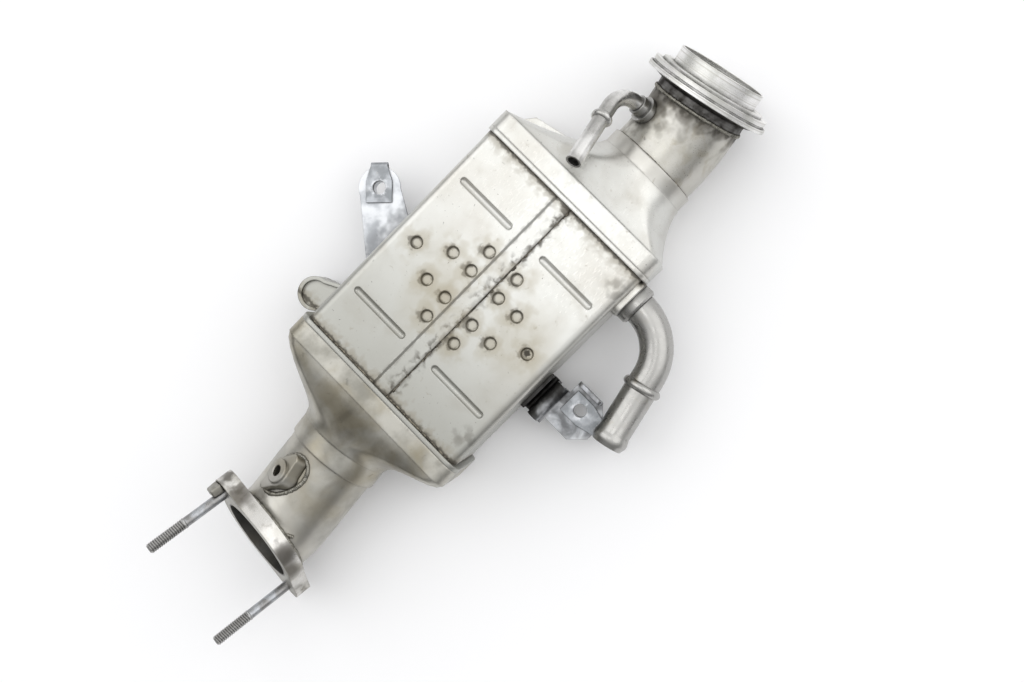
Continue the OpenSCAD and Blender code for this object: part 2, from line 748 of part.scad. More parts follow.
// Round end of radius r at c, with flanks that run to a round body about the origin.
// The flanks start a little inside both circles
module ear(c, r, body_r) {
    toward = atan2(c.y, c.x);
    open = acos((body_r - r) / norm(c));
    translate(c) circle(r = r);
    polygon([for (s = [-1, 1], k = [0, 1])
        let (side = [cos(toward + s * open), sin(toward + s * open)] * ear_flank)
            (s > 0) == (k > 0) ? c + r * side : body_r * side]);
}

// Places a shape on the stud flange, with z out of its sealing face and x through both studs
module at_flange() {
    in_frame() at_heading(flange_face, stud_dir) rotate(-flange_roll) children();
}

module stud_flange() {
    color("silver") at_flange() translate([0, 0, -flange_t]) difference() {
        union() {
            linear_extrude(flange_t) {
                circle(d = flange_d);
                for (p = stud_places) ear(p, ear_r, flange_d / 2);
            }
            translate([0, 0, -flange_neck_l]) cylinder(d = neck_d, h = flange_neck_l + cut);
        }
        translate([0, 0, -flange_neck_l - cut])
            cylinder(d = gas_bore_d, h = flange_neck_l + flange_t + 2 * cut);
        for (p = stud_places)
            translate([p.x, p.y, -cut]) cylinder(d = stud_d + 2 * fit, h = flange_t + 2 * cut);
    }
}

// Two studs: a threaded root in the flange, a plain shank and a threaded end with a chamfered tip
module flange_studs() {
    tip_z = shank_l + thread_l - stud_chamfer;
    color("dimgray") at_flange() for (p = stud_places) translate(p) {
        translate([0, 0, -flange_t]) cylinder(d = stud_d, h = flange_t);
        cylinder(d = shank_d, h = shank_l);
        translate([0, 0, shank_l]) cylinder(d = stud_d, h = thread_l - stud_chamfer);
        translate([0, 0, tip_z]) cylinder(d1 = stud_d, d2 = stud_d - 2 * stud_chamfer, h = stud_chamfer);
    }
}

// Diamond pad with a round ring, saddled on the elbow's straight run
module sensor_boss() {
    pad_l = 3 * boss_h;
    reach = boss_l / 2 - boss_tip_r;
    color("darkgray") in_frame() difference() {
        place(boss_seat - 2 * boss_h * boss_dir, boss_long_dir, cross(boss_dir, boss_long_dir)) {
            linear_extrude(pad_l) {
                circle(d = boss_d + boss_tip_r);
                for (s = [-1, 1]) ear([s * reach, 0], boss_tip_r, (boss_d + boss_tip_r) / 2);
            }
            cylinder(d = boss_d, h = pad_l + boss_ring_h);
        }
        at_heading(outlet_start - outlet_run * outlet_dir, outlet_dir)
            cylinder(d = neck_d + 2 * fit, h = 3 * outlet_run);
        elbow_bore();
    }
}

// Coolant ports

// Stop bead round a pipe of diameter d, with the bore kept open
module pipe_bead(d, r, t) {
    rotate_extrude() difference() {
        translate([d / 2 - t / 2, 0]) circle(r = r);
        translate([0, -2 * r]) square([d / 2 - t / 2, 4 * r]);
    }
}

// Hose end of diameter d and length l past the stop bead: straight, then a barb with a chamfered tip
module hose_end(d, l) {
    r = d / 2;
    bore_r = r - hose_t;
    crest_1 = l - (barb_l + barb_crest_l) / 2;
    crest_2 = l - (barb_l - barb_crest_l) / 2;
    rotate_extrude() polygon([[bore_r, 0], [r, 0], [r, l - barb_l], [r + barb_h, crest_1],
        [r + barb_h, crest_2], [r - hose_t / 2, l], [bore_r, l]]);
    pipe_bead(d, stop_bead_r, hose_t);
}

module coolant_inlet_pipe() {
    color("lightgray") in_frame()
        bent_sweep(stop_bead, -hose_dir, -coolant_root_dir, coolant_neck_l, coolant_bend_r) {
            ring(hose_d, hose_t);
            hose_end(hose_d, hose_end_l);
        }
}

// Turned collar with a spigot through the side wall
module coolant_inlet_collar() {
    lip = hose_t;
    color("silver") in_frame() at_heading(coolant_root, coolant_root_dir) rotate_extrude()
        polygon([[hose_bore_r, -shell_t], [hose_d / 2, -shell_t], [hose_d / 2, fit],
            [root_collar_d / 2, fit], [root_collar_d / 2, root_collar_h - lip],
            [hose_d / 2 + lip, root_collar_h], [hose_bore_r, root_collar_h]]);
}

// Outline of the pan, drawn back by inset: a foot along the side wall that narrows to a round end
module pan_outline(inset) {
    r = pan_r - inset;
    translate(pan_centre) circle(r = r);
    polygon([[pan_foot_x + inset, shell_hw + fit], [pan_foot_x + pan_foot_l - inset, shell_hw + fit],
        pan_centre + r * ear_flank * [cos(pan_slant), sin(pan_slant)], [pan_foot_x + inset, pan_centre.y]]);
}

module coolant_outlet_pan() {
    color("gainsboro") in_frame() difference() {
        translate([0, 0, pan_floor]) linear_extrude(pan_h) pan_outline(0);
        translate([0, -2 * fit, pan_top - pan_dish]) linear_extrude(pan_dish + cut) pan_outline(pan_rim);
        translate([0, -2 * fit, pan_floor + pan_t]) linear_extrude(pan_room_h) pan_outline(pan_t);
        translate([pan_centre.x, pan_centre.y, pan_floor - cut])
            cylinder(d = coolant_out_d + 2 * fit, h = pan_t + 2 * cut);
    }
}

module coolant_outlet_pipe() {
    root_l = pan_t + 2 * stop_bead_r;
    color("lightgray") in_frame()
        translate([pan_centre.x, pan_centre.y, pan_floor + pan_t]) mirror([0, 0, 1]) {
            linear_extrude(root_l) ring(coolant_out_d, hose_t);
            translate([0, 0, root_l]) hose_end(coolant_out_d, coolant_out_l + pan_t - root_l);
        }
}

// Pressure pipe

module pressure_pipe() {
    color("lightgray") in_frame()
        bent_sweep(tap_tip, -tap_end_dir, -tap_out_dir, tap_straight, tap_bend_r) {
            ring(tap_d, tap_t);
            translate([0, 0, -tap_end_l]) pipe_bead(tap_d, tap_bead_r, tap_t);
        }
}

// Stepped collar under the pressure pipe, saddled on the neck's bend
module pressure_pipe_collar() {
    root_r = neck_d / 2 - tap_foot_h;
    color("silver") in_frame() difference() {
        at_heading(tap_axis + root_r * tap_out_dir, tap_out_dir) difference() {
            union() {
                cylinder(d = tap_collar_d, h = 2 * tap_foot_h);
                cylinder(d = tap_sleeve_d, h = tap_foot_h + tap_collar_h);
            }
            translate([0, 0, -cut]) cylinder(d = tap_bore_d, h = tap_foot_h + tap_collar_h + 2 * cut);
        }
        bent_sweep(inlet_start, inlet_dir, clamp_dir, inlet_run, inlet_bend_r) circle(d = neck_d + 2 * fit);
    }
}

// Brackets

// Half of a ring about the origin, inner radius r, above (s = 1) or below (s = -1) the middle
module half_ring(r, t, s) {
    intersection() {
        ring(2 * (r + t), t);
        translate([-r - t, s > 0 ? 0 : -r - t]) square([2 * (r + t), r + t]);
    }
}

// Section of the left bracket outward from the wall: a foot that runs down, a bend and a level tab
module left_section() {
    t = bracket_t;
    r = left_bend_r;
    translate([fit, -t - r - foot_h]) square([t, foot_h]);
    translate([fit + t + r, -t - r]) intersection() {
        half_ring(r, t, 1);
        translate([-r - t, 0]) square(r + t);
    }
    translate([fit + t + r, -t]) square([left_hole_out + left_tab_r - t - r, t]);
}

// Plan of the left bracket: a strip that slants and narrows from the wall to its round end
module left_plan() {
    root = [left_foot_x, shell_hw];
    end = [left_hole.x, left_hole.y];
    side = left_tab_r * ear_flank * unit([root.y - end.y, end.x - root.x]);
    translate(end) circle(r = left_tab_r);
    polygon([root - [left_foot_l / 2, 0], root + [left_foot_l / 2, 0], end - side, end + side]);
}

module left_bracket() {
    color("lightgray") in_frame() difference() {
        intersection() {
            along_x(-shell_l, 2 * shell_l) translate([shell_hw, left_hole.z]) left_section();
            translate([0, 0, -shell_h]) linear_extrude(2 * shell_h) left_plan();
        }
        translate(left_hole) cylinder(d = tab_hole_d, h = shell_h, center = true);
    }
}

// Section of the right bracket outward from the wall: a foot, a trough, a crest and a level tab
module right_section() {
    t = bracket_t;
    r = right_fold_r;
    trough_z = -foot_h + r + t;
    crest_z = right_crest_h - r - t;
    riser = fit + t + 2 * r;
    fall = riser + t + 2 * r;
    tab = fall + t + r;
    translate([fit, trough_z]) square([t, foot_h]);
    translate([fit + t + r, trough_z]) half_ring(r, t, -1);
    translate([riser, trough_z]) square([t, crest_z - trough_z]);
    translate([riser + t + r, crest_z]) half_ring(r, t, 1);
    translate([fall, r]) square([t, crest_z - r]);
    translate([tab, r]) intersection() {
        half_ring(r, t, -1);
        translate([-r - t, -r - t]) square(r + t);
    }
    translate([tab, -t]) square([right_hole_out + right_tab_end - tab, t]);
}

// Plan of the right bracket: the folded foot and a tab with chamfered corners
module right_plan() {
    foot_out = fit + 3 * bracket_t + 5 * right_fold_r;
    c = right_chamfer;
    translate([right_hole.x + right_foot_shift - right_foot_l / 2, -shell_hw - foot_out])
        square([right_foot_l, foot_out]);
    translate([right_hole.x, right_hole.y]) polygon([[-right_tab_w1, right_hole_out - foot_out],
        [-right_tab_w1, c - right_tab_end], [c - right_tab_w1, -right_tab_end],
        [right_tab_w2 - c, -right_tab_end], [right_tab_w2, c - right_tab_end],
        [right_tab_w2, right_hole_out - foot_out]]);
}

module right_bracket() {
    rim_r = right_rim_h / 2;
    rim_y = right_hole.y - right_tab_end + right_chamfer + right_rim_l / 2;
    color("darkgray") in_frame() difference() {
        union() {
            intersection() {
                along_x(-shell_l, 2 * shell_l)
                    translate([-shell_hw, right_hole.z]) mirror([1, 0]) right_section();
                translate([0, 0, -shell_h]) linear_extrude(2 * shell_h) right_plan();
            }
            along_x(right_hole.x + right_tab_w2 - bracket_t, bracket_t)
                translate([rim_y, right_hole.z - bracket_t]) {
                    translate([-right_rim_l / 2, 0]) square([right_rim_l, bracket_t + rim_r]);
                    translate([0, bracket_t + rim_r]) flat_oval(right_rim_l, right_rim_h);
                }
        }
        translate(right_hole) cylinder(d = tab_hole_d, h = shell_h, center = true);
    }
}

// U-shaped sheet nut pushed over a tab's end: its fold lies at reach from the hole, along heading yaw
module clip_nut(p, yaw, reach) {
    gap = bracket_t / 2 + fit;
    barrel_d = clip_thread_d + 2 * clip_barrel_t;
    shoulder = clip_w / 4;
    translate([p.x, p.y, p.z - bracket_t / 2]) rotate(yaw) difference() {
        union() {
            for (z = [gap, -gap - clip_t]) translate([0, 0, z]) linear_extrude(clip_t)
                polygon([[-clip_back, -clip_w / 2], [shoulder, -clip_w / 2], [reach, -clip_fold_w / 2],
                    [reach, clip_fold_w / 2], [shoulder, clip_w / 2], [-clip_back, clip_w / 2]]);
            translate([reach, clip_fold_w / 2, 0]) rotate([90, 0, 0]) linear_extrude(clip_fold_w)
                rotate(-90) half_ring(gap, clip_t, 1);
            translate([0, 0, -gap - clip_t - clip_barrel_h])
                cylinder(d = barrel_d, h = clip_barrel_h + clip_t / 2);
        }
        cylinder(d = clip_thread_d, h = shell_h, center = true);
    }
}

module left_clip_nut() {
    color("silver") in_frame() clip_nut(left_hole, left_clip_heading, left_tab_r + fit);
}

module right_clip_nut() {
    color("darkgray") in_frame() clip_nut(right_hole, -90, right_tab_end + fit);
}

// Foot on the inlet skirt's side and a level arm that reaches out beside the cone
module rear_bracket() {
    wall = inlet_hw + fit;
    foot_x = cone_x - rear_foot_l - fit;
    tip = [cone_x + rear_reach, wall - 2 * rear_w];
    color("whitesmoke") in_frame() translate([0, 0, -rear_drop]) {
        translate([foot_x, wall, -bracket_t]) cube([rear_foot_l, bracket_t, foot_h + bracket_t]);
        translate([0, 0, -bracket_t]) linear_extrude(bracket_t)
            polygon([[foot_x, wall], [foot_x, wall + bracket_t], [cone_x, wall + bracket_t],
                [tip.x - 2 * bracket_t, wall - rear_w / 2], tip, [tip.x - bracket_t, tip.y - bracket_t],
                [cone_x + fit, wall]]);
    }
}

left_half_shell();
right_half_shell();
inlet_header_plate();
outlet_header_plate();
gas_tube(1);  // gas_tube_1
gas_tube(2);  // gas_tube_2
gas_tube(3);  // gas_tube_3
gas_tube(4);  // gas_tube_4
gas_tube(5);  // gas_tube_5
gas_tube(6);  // gas_tube_6
gas_fin(1);  // gas_fin_1
gas_fin(2);  // gas_fin_2
gas_fin(3);  // gas_fin_3
gas_fin(4);  // gas_fin_4
gas_fin(5);  // gas_fin_5
gas_fin(6);  // gas_fin_6
inlet_diffuser();
inlet_neck_pipe();
clamp_flange();
outlet_diffuser();
outlet_elbow();
stud_flange();
flange_studs();
sensor_boss();
coolant_inlet_pipe();
coolant_inlet_collar();
coolant_outlet_pan();
coolant_outlet_pipe();
pressure_pipe();
pressure_pipe_collar();
left_bracket();
left_clip_nut();
right_bracket();
right_clip_nut();
rear_bracket();
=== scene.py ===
"""Dresses the exhaust gas cooler's solids: metal finishes, welds, braze residue, stud threads and a lug."""

import json
import math
import random

import bmesh
import bpy
from bpy.props import FloatProperty, FloatVectorProperty, PointerProperty
from mathutils import Matrix, Vector


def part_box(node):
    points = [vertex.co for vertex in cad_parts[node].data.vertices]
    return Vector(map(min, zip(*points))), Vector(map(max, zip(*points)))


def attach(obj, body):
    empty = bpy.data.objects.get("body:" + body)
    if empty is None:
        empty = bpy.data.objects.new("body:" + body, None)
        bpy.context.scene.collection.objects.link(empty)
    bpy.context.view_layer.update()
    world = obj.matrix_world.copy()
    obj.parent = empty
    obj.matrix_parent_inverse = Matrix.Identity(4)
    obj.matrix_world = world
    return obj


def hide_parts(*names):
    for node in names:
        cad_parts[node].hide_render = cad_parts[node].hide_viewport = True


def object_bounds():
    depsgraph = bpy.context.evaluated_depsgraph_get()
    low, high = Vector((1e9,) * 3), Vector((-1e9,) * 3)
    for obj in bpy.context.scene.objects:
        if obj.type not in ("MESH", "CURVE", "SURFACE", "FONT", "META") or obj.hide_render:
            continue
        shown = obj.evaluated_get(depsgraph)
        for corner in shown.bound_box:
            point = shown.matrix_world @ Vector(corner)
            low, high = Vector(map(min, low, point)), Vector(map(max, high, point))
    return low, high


bl_info = {
    "name": "Exhaust Gas Cooler Dressing",
    "version": (1, 0, 0),
    "blender": (4, 5, 0),
    "location": "View3D > Sidebar > Cooler",
    "description": "Finishes, welds, braze residue, stud threads and a studio for the packed cooler",
    "category": "Object",
}

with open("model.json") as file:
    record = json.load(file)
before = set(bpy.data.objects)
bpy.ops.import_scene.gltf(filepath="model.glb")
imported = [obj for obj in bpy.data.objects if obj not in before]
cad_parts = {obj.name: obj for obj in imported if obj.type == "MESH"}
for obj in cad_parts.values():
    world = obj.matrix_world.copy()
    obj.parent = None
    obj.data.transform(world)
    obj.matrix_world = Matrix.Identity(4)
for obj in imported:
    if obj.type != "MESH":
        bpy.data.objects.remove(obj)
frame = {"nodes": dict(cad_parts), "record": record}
CAD_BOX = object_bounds()
MM = 0.001

# Outside radius of both neck pipes, and radius of the seams where they go into their sockets
NECK_R = 24.5 * MM
SEAM_R = 24.7 * MM
# Length of the clamp flange's weld neck, and depth of the stud flange's weld behind its sealing face
WELD_NECK_L = 7.3 * MM
STUD_WELD_DEPTH = 9.7 * MM
# Tool marks of the clamp flange to the metre, 0.9 mm apart: coarser than real ones, so that they show
TOOL_MARKS = 1100.0
# Grains of braze residue to the metre
RESIDUE_GRAINS = 900.0

MOUNTS = {m["name"]: m for m in frame["record"]["mounts"]}
STUD_AXIS = Vector(MOUNTS["studs"]["axis"])
STUD_OUT = MOUNTS["studs"]["dims"]["pcd_mm"] / 2 * MM
CLAMP_AXIS = Vector(MOUNTS["gas_inlet_bore"]["axis"])
CLAMP_BORE_L = MOUNTS["gas_inlet_bore"]["dims"]["length_mm"] * MM
# Where the inlet neck meets the clamp flange's weld neck, and the start of the rims beyond it
CLAMP_JOINT = Vector(MOUNTS["gas_inlet_bore"]["pos_m"]) - CLAMP_AXIS * CLAMP_BORE_L / 2
RIM_START = CLAMP_AXIS.dot(CLAMP_JOINT) + WELD_NECK_L

# The shell's middle and half sizes, read from its left half: the lap strip stands proud of both flat faces
LAP_PROUD = 1.3 * MM
SHELL_HALF_W = 53.5 * MM
LEFT_LOW, LEFT_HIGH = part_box("left_half_shell")
SHELL_HALF = Vector(
    ((LEFT_HIGH.x - LEFT_LOW.x) / 2, SHELL_HALF_W, (LEFT_HIGH.z - LEFT_LOW.z) / 2 - LAP_PROUD)
)
SHELL = Vector(
    ((LEFT_LOW.x + LEFT_HIGH.x) / 2, LEFT_HIGH.y - SHELL_HALF.y, (LEFT_LOW.z + LEFT_HIGH.z) / 2)
)
LAP_EDGE = LEFT_LOW.y - SHELL.y

# The outlet's mouth on its cone, the way that the outlet heads from there, and the ends of both sockets
OUTLET_YAW = math.radians(6)
OUTLET_WAY = Vector((-math.cos(OUTLET_YAW), -math.sin(OUTLET_YAW), 0))
OUTLET_MOUTH = SHELL + Vector((-104, -2, 0)) * MM
OUTLET_SOCKET_END = OUTLET_MOUTH + OUTLET_WAY * 10.9 * MM
INLET_SOCKET_END = SHELL + Vector((111.6, -14.5, 0)) * MM
# The sensor boss: how far along the outlet, how far round from its top, and how its pad leans and turns
BOSS_ALONG = 29 * MM
BOSS_ROUND = math.radians(26)
BOSS_LEAN = math.radians(16)
BOSS_TURN = math.radians(20)

# Places on the flat faces, in millimetres from the shell's middle: dimples, clouds of old coolant, scuffs
DIMPLE_QUARTER = ((9.45, 9.8), (22.5, 9.8), (9.45, 22.75))
DIMPLES = [(sx * x, sy * y) for x, y in DIMPLE_QUARTER for sx in (-1, 1) for sy in (-1, 1)]
DIMPLES += [(0, -39.6), (0, 39.6)]
PLUGGED_DIMPLE = (0.1, -39.5)
COOLANT_CLOUDS = ((4, -38), (-8, 16))
SCUFFS = ((55, -47), (52, -50), (-54, -45), (-51, -48))
# Where lumps of filler start along the lap joint, and how long they are, in millimetres
LAP_LUMPS = ((-62, 5), (-40, 2), (-16, 2), (1.5, 5), (8, 2), (24, 3), (33, 2), (60, 4))
# A blob of weld behind the stud flange and burnt patches on its rim, in millimetres from the shell's middle
WELD_SPATTER = ((-155.6, -17, 22.6), (-154.9, -18.5, 22), (-154.2, -20, 21.2))
BURNT_PATCHES = ((-156.5, 13, 28.5), (-163, -25, 27.5), (-168, -32, 20))

# The camera at the photograph's angle: place from the shell's middle in millimetres, axes and lens
CAMERA_PLACE = (62.3186, -81.795, 624.928)
CAMERA_AXES = ((0.70186, -0.69937, -0.13516), (0.70461, 0.70949, -0.0123), (0.1045, -0.0866, 0.99075))
CAMERA_SENSOR = 36
CAMERA_LENS = 42.54
# Lights: the way from the cooler's middle and the width, both in metres, and the power in watts
LIGHTS = {
    "top_light": ((0.18, 0.1, 1.15), 0.45, 0.7),
    "key_light": ((-0.25, 0.9, 1.0), 1.2, 4),
    "fill_light": ((0.8, -0.6, 0.9), 1.2, 3),
}
# The way that the tent of soft light is brightest, and how bright it is far from there and near it
TENT_WAY = (0.5, 0.1, 0.86)
TENT_DIM = 0.29
TENT_BRIGHT = 1.14


def srgb(code):
    """Turns an sRGB hex colour into three linear numbers."""
    parts = [int(code[i : i + 2], 16) / 255 for i in (1, 3, 5)]
    return [c / 12.92 if c <= 0.04045 else ((c + 0.055) / 1.055) ** 2.4 for c in parts]


def colour(name, description, code):
    """A colour that the user can change."""
    return FloatVectorProperty(
        name=name, description=description, subtype="COLOR", size=3, min=0, max=1, default=srgb(code)
    )


def length(name, description, mm):
    """A length that the user can change."""
    return FloatProperty(
        name=name, description=description, unit="LENGTH", subtype="DISTANCE", precision=5, default=mm * MM
    )


class CoolerColours(bpy.types.PropertyGroup):
    """Colours of the cooler's finishes"""

    sheet: colour("Sheet", "Pickled stainless sheet of the shell", "#CFCFCB")
    sheet_cloud: colour("Sheet clouds", "Duller patches of the sheet", "#C4C2BC")
    sheet_outlet_end: colour("Outlet-end sheet", "Shell sheet near the hot outlet end", "#A3A39D")
    stain: colour("Stain", "Dried coolant and handling stains", "#8E8778")
    straw: colour("Straw tint", "Yellow-brown heat tint", "#958B72")
    dulled: colour("Dulled steel", "Stainless that exhaust heat has dulled", "#B8B6AE")
    dulled_cloud: colour("Dulled clouds", "Darker heat patches", "#908E86")
    soot: colour("Soot", "Soot and scale at the hot joints", "#26231F")
    tinted: colour("Tinted steel", "Neck pipe with a faint heat tint", "#BDBBB5")
    turned: colour("Turned steel", "Clamp flange from the lathe", "#F0EFEE")
    flange: colour("Flange steel", "Stud flange, milled and used", "#CFCDC9")
    drawn: colour("Drawn pipe", "Coolant pipes", "#AAA9A6")
    bright_pipe: colour("Bright pipe", "Pressure pipe", "#E2E1DF")
    zinc: colour("Zinc plate", "Plated brackets", "#D3D5D8")
    zinc_dull: colour("Zinc clouds", "Passivated patches of the plating", "#AEB1B5")
    spring: colour("Spring steel", "Phosphated clip nuts", "#898C8F")
    thread: colour("Thread", "Plated stud threads", "#B4B3B1")
    shank: colour("Shank", "Plain stud shanks", "#8E8D8C")
    residue: colour("Residue", "Braze filler left along the joints", "#4C473F")
    weld: colour("Weld", "Weld metal", "#8F8C83")
    floor: colour("Floor", "Pale studio floor", "#F6F6F7")


class CoolerSizes(bpy.types.PropertyGroup):
    """Sizes of the added details"""

    weld_spacing: length("Weld ripple spacing", "Distance between the ripples of a weld bead", 1.0)
    weld_width: length("Weld half width", "Half the width of a weld bead", 1.3)
    residue_r: length("Residue radius", "Radius of a run of braze residue", 0.3)
    residue_rough: length("Residue roughness", "How far the residue swells and shrinks", 0.7)
    lump_r: length("Lump radius", "Radius of a lump of braze filler on the lap joint", 0.8)
    # A stud this size has a pitch of 1 mm; it is cut coarser so that it shows
    thread_pitch: length("Thread pitch", "Pitch of the stud thread", 1.25)
    thread_depth: length("Thread depth", "Depth of the stud thread", 0.5)
    thread_l: length("Threaded length", "Length of the threaded stud ends", 22)
    shank_l: length("Shank length", "Length of the plain shanks", 25)
    root_l: length("Root length", "Length of the stud roots in the flange", 9)
    stud_chamfer: length("Stud chamfer", "Chamfer of the stud tips", 1)
    thread_r: length("Thread radius", "Outer radius of the stud threads", 3)
    stud_roll: FloatProperty(
        name="Stud roll",
        description="Turn of the studs about the bore",
        subtype="ANGLE",
        default=math.radians(31),
    )
    boss_l: length("Boss foot length", "Length of the weld round the sensor boss's pad", 28)
    boss_w: length("Boss foot width", "Width of the weld round the sensor boss's pad", 17)
    lug_w: length("Lug width", "Width of the lug on the stud flange's upper ear", 8)
    lug_t: length("Lug thickness", "Thickness of the lug, away from the bore", 5)
    lug_h: length("Lug height", "Height of the lug above the sealing face", 6.5)
    lug_out: length("Lug distance", "Distance of the lug from the stud", 5)
    lug_round: length("Lug rounding", "Rounding of the lug's edges", 0.9)
    floor_w: length("Floor width", "Width of the studio floor", 8000)


def add(tree, kind, settings=None, sockets=None):
    """Adds a node of one kind, sets its properties, and sets or links its inputs by name or number."""
    node = tree.nodes.new(kind)
    for key, value in (settings or {}).items():
        setattr(node, key, value)
    for key, value in (sockets or {}).items():
        if isinstance(value, bpy.types.NodeSocket):
            tree.links.new(value, node.inputs[key])
        else:
            node.inputs[key].default_value = value
    return node


# Masks rise and fall smoothly between their two ends
SMOOTH = {"interpolation_type": "SMOOTHSTEP"}


class Metal:
    """A metal's node tree: clouds of two tones, a grain in its gloss and bump, and softly rounded edges."""

    def __init__(
        self, name, base, cloud, rough=0.4, cloud_mm=22, grain_mm=0.5, drawn_out=1, bump_mm=0.03, edge_mm=0.4
    ):
        self.material = bpy.data.materials.new(name)
        self.material.use_nodes = True
        self.tree = self.material.node_tree
        self.tree.nodes.clear()
        self.place = add(self.tree, "ShaderNodeTexCoord").outputs["Object"]
        tones = {0: self.patches(cloud_mm, 0.38, 0.66), 6: (*base, 1), 7: (*cloud, 1)}
        self.colour = add(self.tree, "ShaderNodeMix", {"data_type": "RGBA"}, tones).outputs[2]
        # The grain is coarser than a real one, so that it shows; rolled sheet has it drawn out lengthwise
        stretch = {0: self.place, 1: (1, drawn_out, drawn_out)}
        drawn = add(self.tree, "ShaderNodeVectorMath", {"operation": "MULTIPLY"}, stretch).outputs[0]
        cells = {"Vector": drawn, "Scale": 1000 / (grain_mm * drawn_out), "Detail": 3}
        self.height = add(self.tree, "ShaderNodeTexNoise", None, cells).outputs["Fac"]
        levels = {
            "Value": self.height,
            "From Min": 0.25,
            "From Max": 0.75,
            "To Min": rough - 0.06,
            "To Max": rough + 0.08,
        }
        self.rough = add(self.tree, "ShaderNodeMapRange", SMOOTH, levels).outputs["Result"]
        self.bump_mm = bump_mm
        self.edge_mm = edge_mm
        self.sheen = {}

    def patches(self, mm, low, high, to=(0, 1), detail=4, distortion=0.0):
        """A mask of irregular patches about that many millimetres across."""
        cells = {"Vector": self.place, "Scale": 1000 / mm, "Detail": detail, "Distortion": distortion}
        noise = add(self.tree, "ShaderNodeTexNoise", None, cells).outputs["Fac"]
        levels = {"Value": noise, "From Min": low, "From Max": high, "To Min": to[0], "To Max": to[1]}
        return add(self.tree, "ShaderNodeMapRange", SMOOTH, levels).outputs["Result"]

    def fade(self, axis, low, high, to=(0, 1)):
        """A mask that changes along an axis, between two distances from the origin."""
        along = add(self.tree, "ShaderNodeVectorMath", {"operation": "DOT_PRODUCT"}, {0: self.place, 1: axis})
        gap = along.outputs["Value"]
        levels = {"Value": gap, "From Min": low, "From Max": high, "To Min": to[0], "To Max": to[1]}
        return add(self.tree, "ShaderNodeMapRange", SMOOTH, levels).outputs["Result"]

    def outwards(self, axis, low, high, to=(0, 1)):
        """A mask that changes away from an axis through the origin, between two radii."""
        sides = {0: self.place, 1: axis}
        side = add(self.tree, "ShaderNodeVectorMath", {"operation": "CROSS_PRODUCT"}, sides)
        away = add(self.tree, "ShaderNodeVectorMath", {"operation": "LENGTH"}, {0: side.outputs[0]})
        gap = away.outputs["Value"]
        levels = {"Value": gap, "From Min": low, "From Max": high, "To Min": to[0], "To Max": to[1]}
        return add(self.tree, "ShaderNodeMapRange", SMOOTH, levels).outputs["Result"]

    def ragged(self, gap, inner, outer, mm, spread):
        """One where the gap is under the inner size, none past the outer one, with a ragged edge between."""
        edge = self.patches(mm, 0.3, 0.7, (1 - spread, 1 + spread), detail=2)
        gap = add(self.tree, "ShaderNodeMath", {"operation": "DIVIDE"}, {0: gap, 1: edge}).outputs[0]
        levels = {"Value": gap, "From Min": inner, "From Max": outer, "To Min": 1, "To Max": 0}
        return add(self.tree, "ShaderNodeMapRange", SMOOTH, levels).outputs["Result"]

    def band(self, axis, at, inner, outer, mm, spread):
        """A ragged band about a plane square to an axis."""
        along = add(self.tree, "ShaderNodeVectorMath", {"operation": "DOT_PRODUCT"}, {0: self.place, 1: axis})
        past = add(self.tree, "ShaderNodeMath", {"operation": "SUBTRACT"}, {0: along.outputs["Value"], 1: at})
        gap = add(self.tree, "ShaderNodeMath", {"operation": "ABSOLUTE"}, {0: past.outputs[0]})
        return self.ragged(gap.outputs[0], inner, outer, mm, spread)

    def nearest(self, points):
        """Distance to the nearest of some points."""
        gaps = []
        for point in points:
            ends = {0: self.place, 1: point}
            gap = add(self.tree, "ShaderNodeVectorMath", {"operation": "DISTANCE"}, ends)
            gaps.append(gap.outputs["Value"])
        while len(gaps) > 1:
            pair = {0: gaps.pop(0), 1: gaps.pop(0)}
            gaps.append(add(self.tree, "ShaderNodeMath", {"operation": "MINIMUM"}, pair).outputs[0])
        return gaps[0]

    def soil(self, mask, tone, rough=None, strength=1.0, within=None):
        """Covers the metal with a tone where both masks are, and makes it that rough there."""
        shares = [strength] if within is None else [within, strength]
        for share in shares:
            mask = add(self.tree, "ShaderNodeMath", {"operation": "MULTIPLY"}, {0: mask, 1: share}).outputs[0]
        tones = {0: mask, 6: self.colour, 7: (*tone, 1)}
        self.colour = add(self.tree, "ShaderNodeMix", {"data_type": "RGBA"}, tones).outputs[2]
        if rough is not None:
            gloss = {0: mask, 2: self.rough, 3: rough}
            self.rough = add(self.tree, "ShaderNodeMix", {"data_type": "FLOAT"}, gloss).outputs[0]

    def spots(self, mm, low, high, tone, rough=None, strength=1.0):
        """Lays irregular patches of a tone over the metal."""
        self.soil(self.patches(mm, low, high, detail=5, distortion=0.6), tone, rough, strength)

    def crevice_grime_and_shade(self, mm, tone, low, high, strength):
        """Grime and painted shade where surfaces meet: full where under low of the sky is open, none past
        high.
        """
        reach = {"Distance": mm * MM}
        # Painted shade: the less sky a point sees, the darker it is painted
        sky = add(self.tree, "ShaderNodeAmbientOcclusion", {"samples": 8}, reach).outputs["AO"]
        levels = {"Value": sky, "From Min": low, "From Max": high, "To Min": 1, "To Max": 0}
        shade = add(self.tree, "ShaderNodeMapRange", SMOOTH, levels).outputs["Result"]
        self.soil(shade, tone, 0.6, strength, within=self.patches(6, 0.3, 0.6, (0.6, 1)))

    def dents(self, mm, depth):
        """Adds shallow dents to the bump."""
        cells = {"Vector": self.place, "Scale": 1000 / mm, "Detail": 2}
        noise = add(self.tree, "ShaderNodeTexNoise", None, cells).outputs["Fac"]
        deeper = {0: noise, 1: depth / self.bump_mm, 2: self.height}
        self.height = add(self.tree, "ShaderNodeMath", {"operation": "MULTIPLY_ADD"}, deeper).outputs[0]

